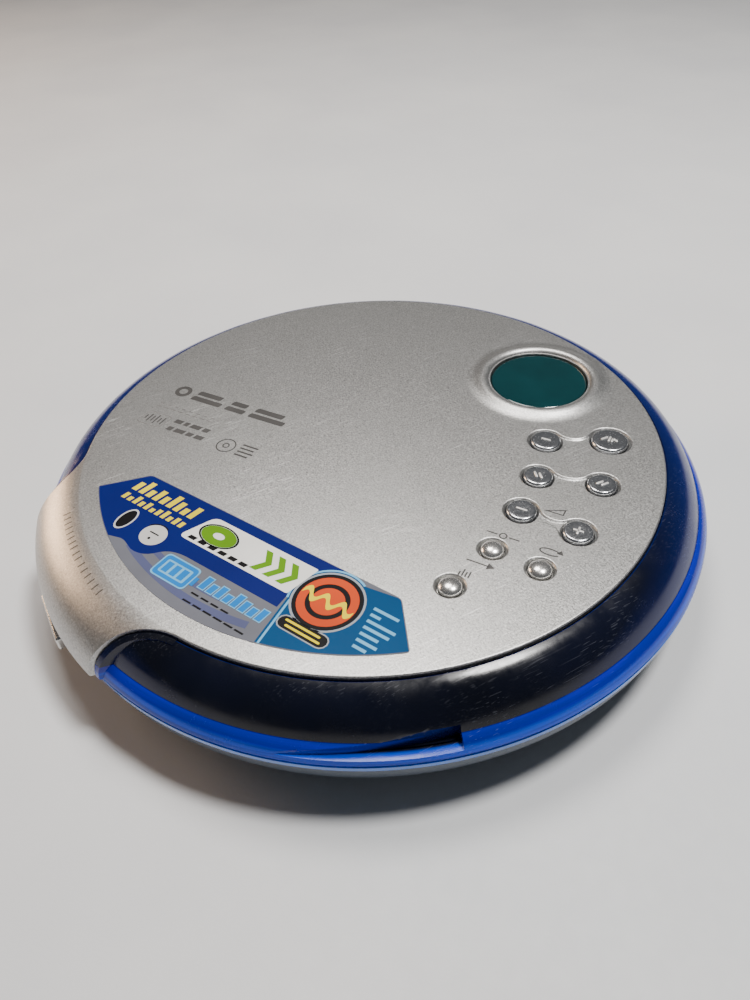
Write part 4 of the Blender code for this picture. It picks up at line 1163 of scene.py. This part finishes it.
def build_chassis():
    low, top = CHASSIS_Z, CHASSIS_Z + 1.0
    deck = plate([rectangle((-22.5, -12.0), (22.5, 62.2), 2.0)], low, top)
    for place in DAMPERS:
        deck = fuse(deck, post(place, 4.0, low - 0.001, top + 0.001, 48))
    for x in (-ROD_X, ROD_X):
        for near, far in ((12.8, 13.6), (57.6, 58.6)):
            deck = fuse(deck, block((x - 2.2, near, 5.6), (x + 2.2, far, low + 0.5), 0.15))
    holes = [post(place, 1.7, 9, 13, 32) for place in DAMPERS]
    holes.append(post((0, 0), 5.0, 9, 13, 64))
    holes.append(plate([rectangle((-7.2, SLOT_START), (7.2, SLOT_END))], 9, 13))
    holes += [rod_y(x, ROD_Z, 10, 62, 1.3, 24) for x in (-ROD_X, ROD_X)]
    finish(cut(deck, *holes), "Mech_Chassis", "base", "steel")
    section = [(1.5, 10.3), (3.0, 10.3), (3.0, 9.5), (2.5, 9.25), (3.0, 9.0), (3.0, 8.2), (1.5, 8.2)]
    for n, place in enumerate(DAMPERS, 1):
        damper = lathe(rounded(section, 0.15), 48, place, closed=True)
        finish(damper, f"Damper_{n}", "base", "rubber")


def build_pickup():
    lens_y = 24.0
    back = lens_y - 10.0
    sled = block((-12, back, 5.4), (12, lens_y + 2.8, 10.2), 0.4)
    sled = fuse(sled, block((-20, back, 5.6), (20, back + 8, 9.6), 0.5))
    sled = fuse(sled, block((-6.5, lens_y - 5.5, 9), (6.5, lens_y + 2.5, 15.0), 0.5))
    sled = fuse(sled, block((-5.2, lens_y - 4.5, 14.5), (5.2, lens_y + 2.0, 15.8), 0.4))
    bores = [rod_y(x, ROD_Z, back - 2, back + 12, 1.3) for x in (-ROD_X, ROD_X)]
    bores.append(post((0, lens_y - 0.8), 2.4, 14.4, 17, 48))
    bores += [block((x, lens_y - 3.4, 15.2), (x + 1.2, lens_y + 1.0, 16.5), 0) for x in (-4.6, 3.4)]
    finish(cut(sled, *bores), "Pickup_Sled", "pickup", "dark")
    profile = [(0, 16.9), (0.5, 16.87), (0.9, 16.78), (1.25, 16.6), (1.6, 16.32), (1.65, 16.1)]
    profile += [(2.0, 16.1), (2.0, 14.7), (0, 14.7)]
    finish(lathe(profile, 48, (0, lens_y - 0.8)), "Objective_Lens", "pickup", "lens")
    coils = [block((x, lens_y - 3.2, 15.3), (x + 0.9, lens_y + 0.8, 15.95), 0.15) for x in (-4.45, 3.55)]
    finish(joined(*coils), "Pickup_Coils", "pickup", "copper")
    finish(rod_y(ROD_X, ROD_Z, 12.2, 58.9, 1.0, 40, 0.15), "Guide_Rod", "base", "steel")
    thread = [rod_y(-ROD_X, ROD_Z, 9.3, 58.9, 0.86, 32, 0.1)]
    pitch, turns, steps = 3.0, 14, 24
    for phase in (0, 180):
        points = []
        for n in range(turns * steps + 1):
            u, v = polar(0.84, phase + 360 / steps * n)
            points.append((-ROD_X + u, 14.2 + pitch * n / steps, ROD_Z + v))
        thread.append(tube(points, 0.14, 8))
    finish(joined(*thread), "Lead_Screw", "lead_screw", "steel")
    motor = rod_y(-ROD_X, ROD_Z, 0.5, 12.5, 2.8, 64, 0.4)
    finish(cut(motor, rod_y(-ROD_X, ROD_Z, 9.0, 14, 1.3)), "Sled_Motor", "base", "steel")


def build_electronics():
    low, high = 3.3, 4.3
    board = plate([[polar(57.0, angle) for angle in range(-12, 193, 3)]], low, high)
    cuts = [block((-80, -80, 0), (80, -12.6, 10), 0), *[post(place, 3.5, 2, 6, 32) for place in DAMPERS]]
    cuts += [post(place, 3.7, 2, 6, 32) for place in SCREWS[:2]]
    finish(cut(board, *cuts), "Main_Board", "base", "board")
    chips = [block((30, 10, high + 0.1), (42, 22, high + 1.2), 0.15)]
    chips.append(block((-46, 26, high + 0.1), (-36, 34, high + 1.4), 0.15))
    random.seed(7)
    for n in range(26):
        angle, reach = random.uniform(15, 165), random.uniform(30, 52)
        x, y = polar(reach, angle)
        if y < 12 or (28 < x < 44 and 8 < y < 36) or (-48 < x < -34 and 24 < y < 36):
            continue
        chips.append(block((x - 0.8, y - 0.5, high), (x + 0.8, y + 0.5, high + 0.5), 0.08))
    finish(joined(*chips), "Board_Chips", "base", "dark")
    leg_top = high + 0.25
    legs = [block((30.6 + 1.15 * n, 9.1, high), (31.0 + 1.15 * n, 22.9, leg_top), 0.05) for n in range(10)]
    legs += [block((-46.9, 26.8 + 1.2 * n, high), (-35.1, 27.2 + 1.2 * n, leg_top), 0.05) for n in range(6)]
    cans = [post((38, 32), 3.2, high, high + 4, 48, 0.4), post((45, -4), 2.5, high, high + 5, 48, 0.4)]
    finish(joined(*legs, *cans), "Board_Metal", "base", "nickel")
    for name, y, nose, bore in (("Headphone_Jack", 9.0, 2.6, 1.8), ("DC_Inlet", -9.0, 3.2, 2.1)):
        body = block((-58.8, y - nose - 0.9, 4.6), (-49, y + nose + 0.9, 10.6), 0.35)
        body = fuse(body, rod_x(y, JACK_Z, -66.0, -58, nose, 64, 0.35))
        body = cut(body, rod_x(y, JACK_Z, -70, -53.5, bore, 48))
        finish(body, name, "base", "dark")
        liner = rod_x(y, JACK_Z, -65.6, -58, bore - 0.03, 48)
        liner = cut(liner, rod_x(y, JACK_Z, -67, -54, bore - 0.25, 48))
        if name == "DC_Inlet":
            liner = joined(liner, rod_x(y, JACK_Z, -64.8, -53.6, 0.55, 32, 0.2))
        finish(liner, name + "_Liner", "base", "nickel")
    hold = block((-68.7, -2, 7.4), (-64, 1.5, 9.2), 0.3)
    hold = fuse(hold, block((-64.3, -3.8, 7.3), (-63.4, 3.3, 9.5), 0.1))
    grooves = [block((-69.5, y, 7.0), (-68.4, y + 0.35, 9.6), 0) for y in (-1.35, -0.65, 0.05, 0.75)]
    finish(cut(hold, *grooves), "Hold_Switch", "hold_switch", "dark")
    switch = block((-23.4, -60.6, 14.0), (-20.4, -57.6, 15.9), 0.2)
    switch = fuse(switch, post((-21.9, -59.1), 0.7, 14.7, 17.3, 32, 0.3))
    finish(switch, "Lid_Switch", "base", "dark")


def build_lid_insides():
    low, high = 20.3, 20.9
    section = [(13.0, high), (59.0, high), *rounded([(59.0, high), (59.0, low), (57.0, low)], 0.2)[1:-1]]
    for radius in (56.5, 44.0, 31.5, 18.5):
        groove = low + 0.22
        section += [(radius, low), (radius - 0.25, groove), (radius - 1.05, groove), (radius - 1.3, low)]
    section += [(13.2, low), (13.0, low + 0.2)]
    finish(lathe(section, 192, closed=True), "Lid_Inner_Cover", "lid", "deck")
    x, y = DISPLAY
    panel = block((x - 9, y - 7.5, 21.2), (x + 9, y + 7.5, 22.0), 0.1)
    finish(panel, "Display_Panel", "lid", "lcd", "lcd_panel")
    outline = arc((0, 0), 53.4, -16, 62, 40) + arc((0, 0), 30, 62, -16, 24)
    board = cut(plate([outline], 21.2, 21.8), post(DISPLAY, 13.0, 20, 23, 64))
    finish(board, "Lid_Board", "lid", "board")


# ---------------------------------------------------------------- stage


def build_stage():
    g = Graph("pale_floor")
    soft = g.noise(60, 3)
    g.set(colour=g.mix(g.span(soft, 0.3, 0.7), (0.62, 0.63, 0.65), (0.68, 0.69, 0.70)),
          roughness=g.span(g.noise(3, 2), 0.3, 0.7, 0.6, 0.75), normal=g.bump(g.noise(0.8, 3), 0.02))
    vertices, faces, count, reach = [], [], 24, 5000
    for n in range(count + 1):
        for m in range(count + 1):
            vertices.append((-reach + 2 * reach * n / count, -reach + 2 * reach * m / count, 0))
    for n in range(count):
        for m in range(count):
            corner = n * (count + 1) + m
            faces.append((corner, corner + count + 1, corner + count + 2, corner + 1))
    floor = from_faces(vertices, faces, 60)
    floor.name = "Floor"
    floor.data.materials.append(g.material)


def add_light(name, place, target, size, power, colour):
    lamp = bpy.data.lights.new(name, "AREA")
    lamp.shape = "DISK"
    lamp.size = size * MM
    lamp.energy = power
    lamp.color = colour
    made = bpy.data.objects.new(name, lamp)
    made.location = Vector(place) * MM
    made.rotation_euler = (Vector(place) - Vector(target)).to_track_quat("Z", "Y").to_euler()
    bpy.context.scene.collection.objects.link(made)


def build_camera_and_lights():
    lens = bpy.data.cameras.new("Camera")
    lens.lens = 28.8
    lens.sensor_width = 36.0
    lens.clip_start = 0.01
    camera = bpy.data.objects.new("Camera", lens)
    right, up = (0.48800, 0.87178, -0.04312), (-0.57058, 0.35601, 0.74007)
    back = (0.66053, -0.33655, 0.67115)
    axes = Matrix((right, up, back)).transposed().to_4x4()
    camera.matrix_world = Matrix.Translation(Vector((118.34, -59.85, 127.11)) * MM) @ axes
    bpy.context.scene.collection.objects.link(camera)
    bpy.context.scene.camera = camera
    add_light("Key", (100, 200, 680), (0, 0, 15), 150, 5.8, (1.0, 0.98, 0.95))
    add_light("Sheen", (-210, 60, 600), (0, 0, 15), 240, 2.7, (1.0, 0.96, 0.91))
    add_light("Warm_Card", (-640, -400, 200), (0, -50, 15), 300, 3.2, (1.0, 0.66, 0.40))
    world = bpy.data.worlds.new("Soft studio")
    world.use_nodes = True
    sky = world.node_tree.nodes["Background"].inputs
    sky["Color"].default_value = (0.80, 0.87, 0.97, 1)
    sky["Strength"].default_value = 0.09
    bpy.context.scene.world = world


for subpart in frame["record"]["subparts"]:
    kind = next(kind for kind, slot in SLOTS.items() if slot == subpart["material_slot"])
    materials = frame["nodes"][subpart["node"]].data.materials
    materials.clear()
    materials.append(SURFACES[kind])

for build in (
    build_cover, build_ring, build_display, build_keys, build_label, build_prints, build_tab_ticks,
    build_base, build_deck, build_feet_and_screws, build_hinge, build_power, build_drive,
    build_chassis, build_pickup, build_electronics, build_lid_insides, build_stage,
    build_camera_and_lights,
):
    build()
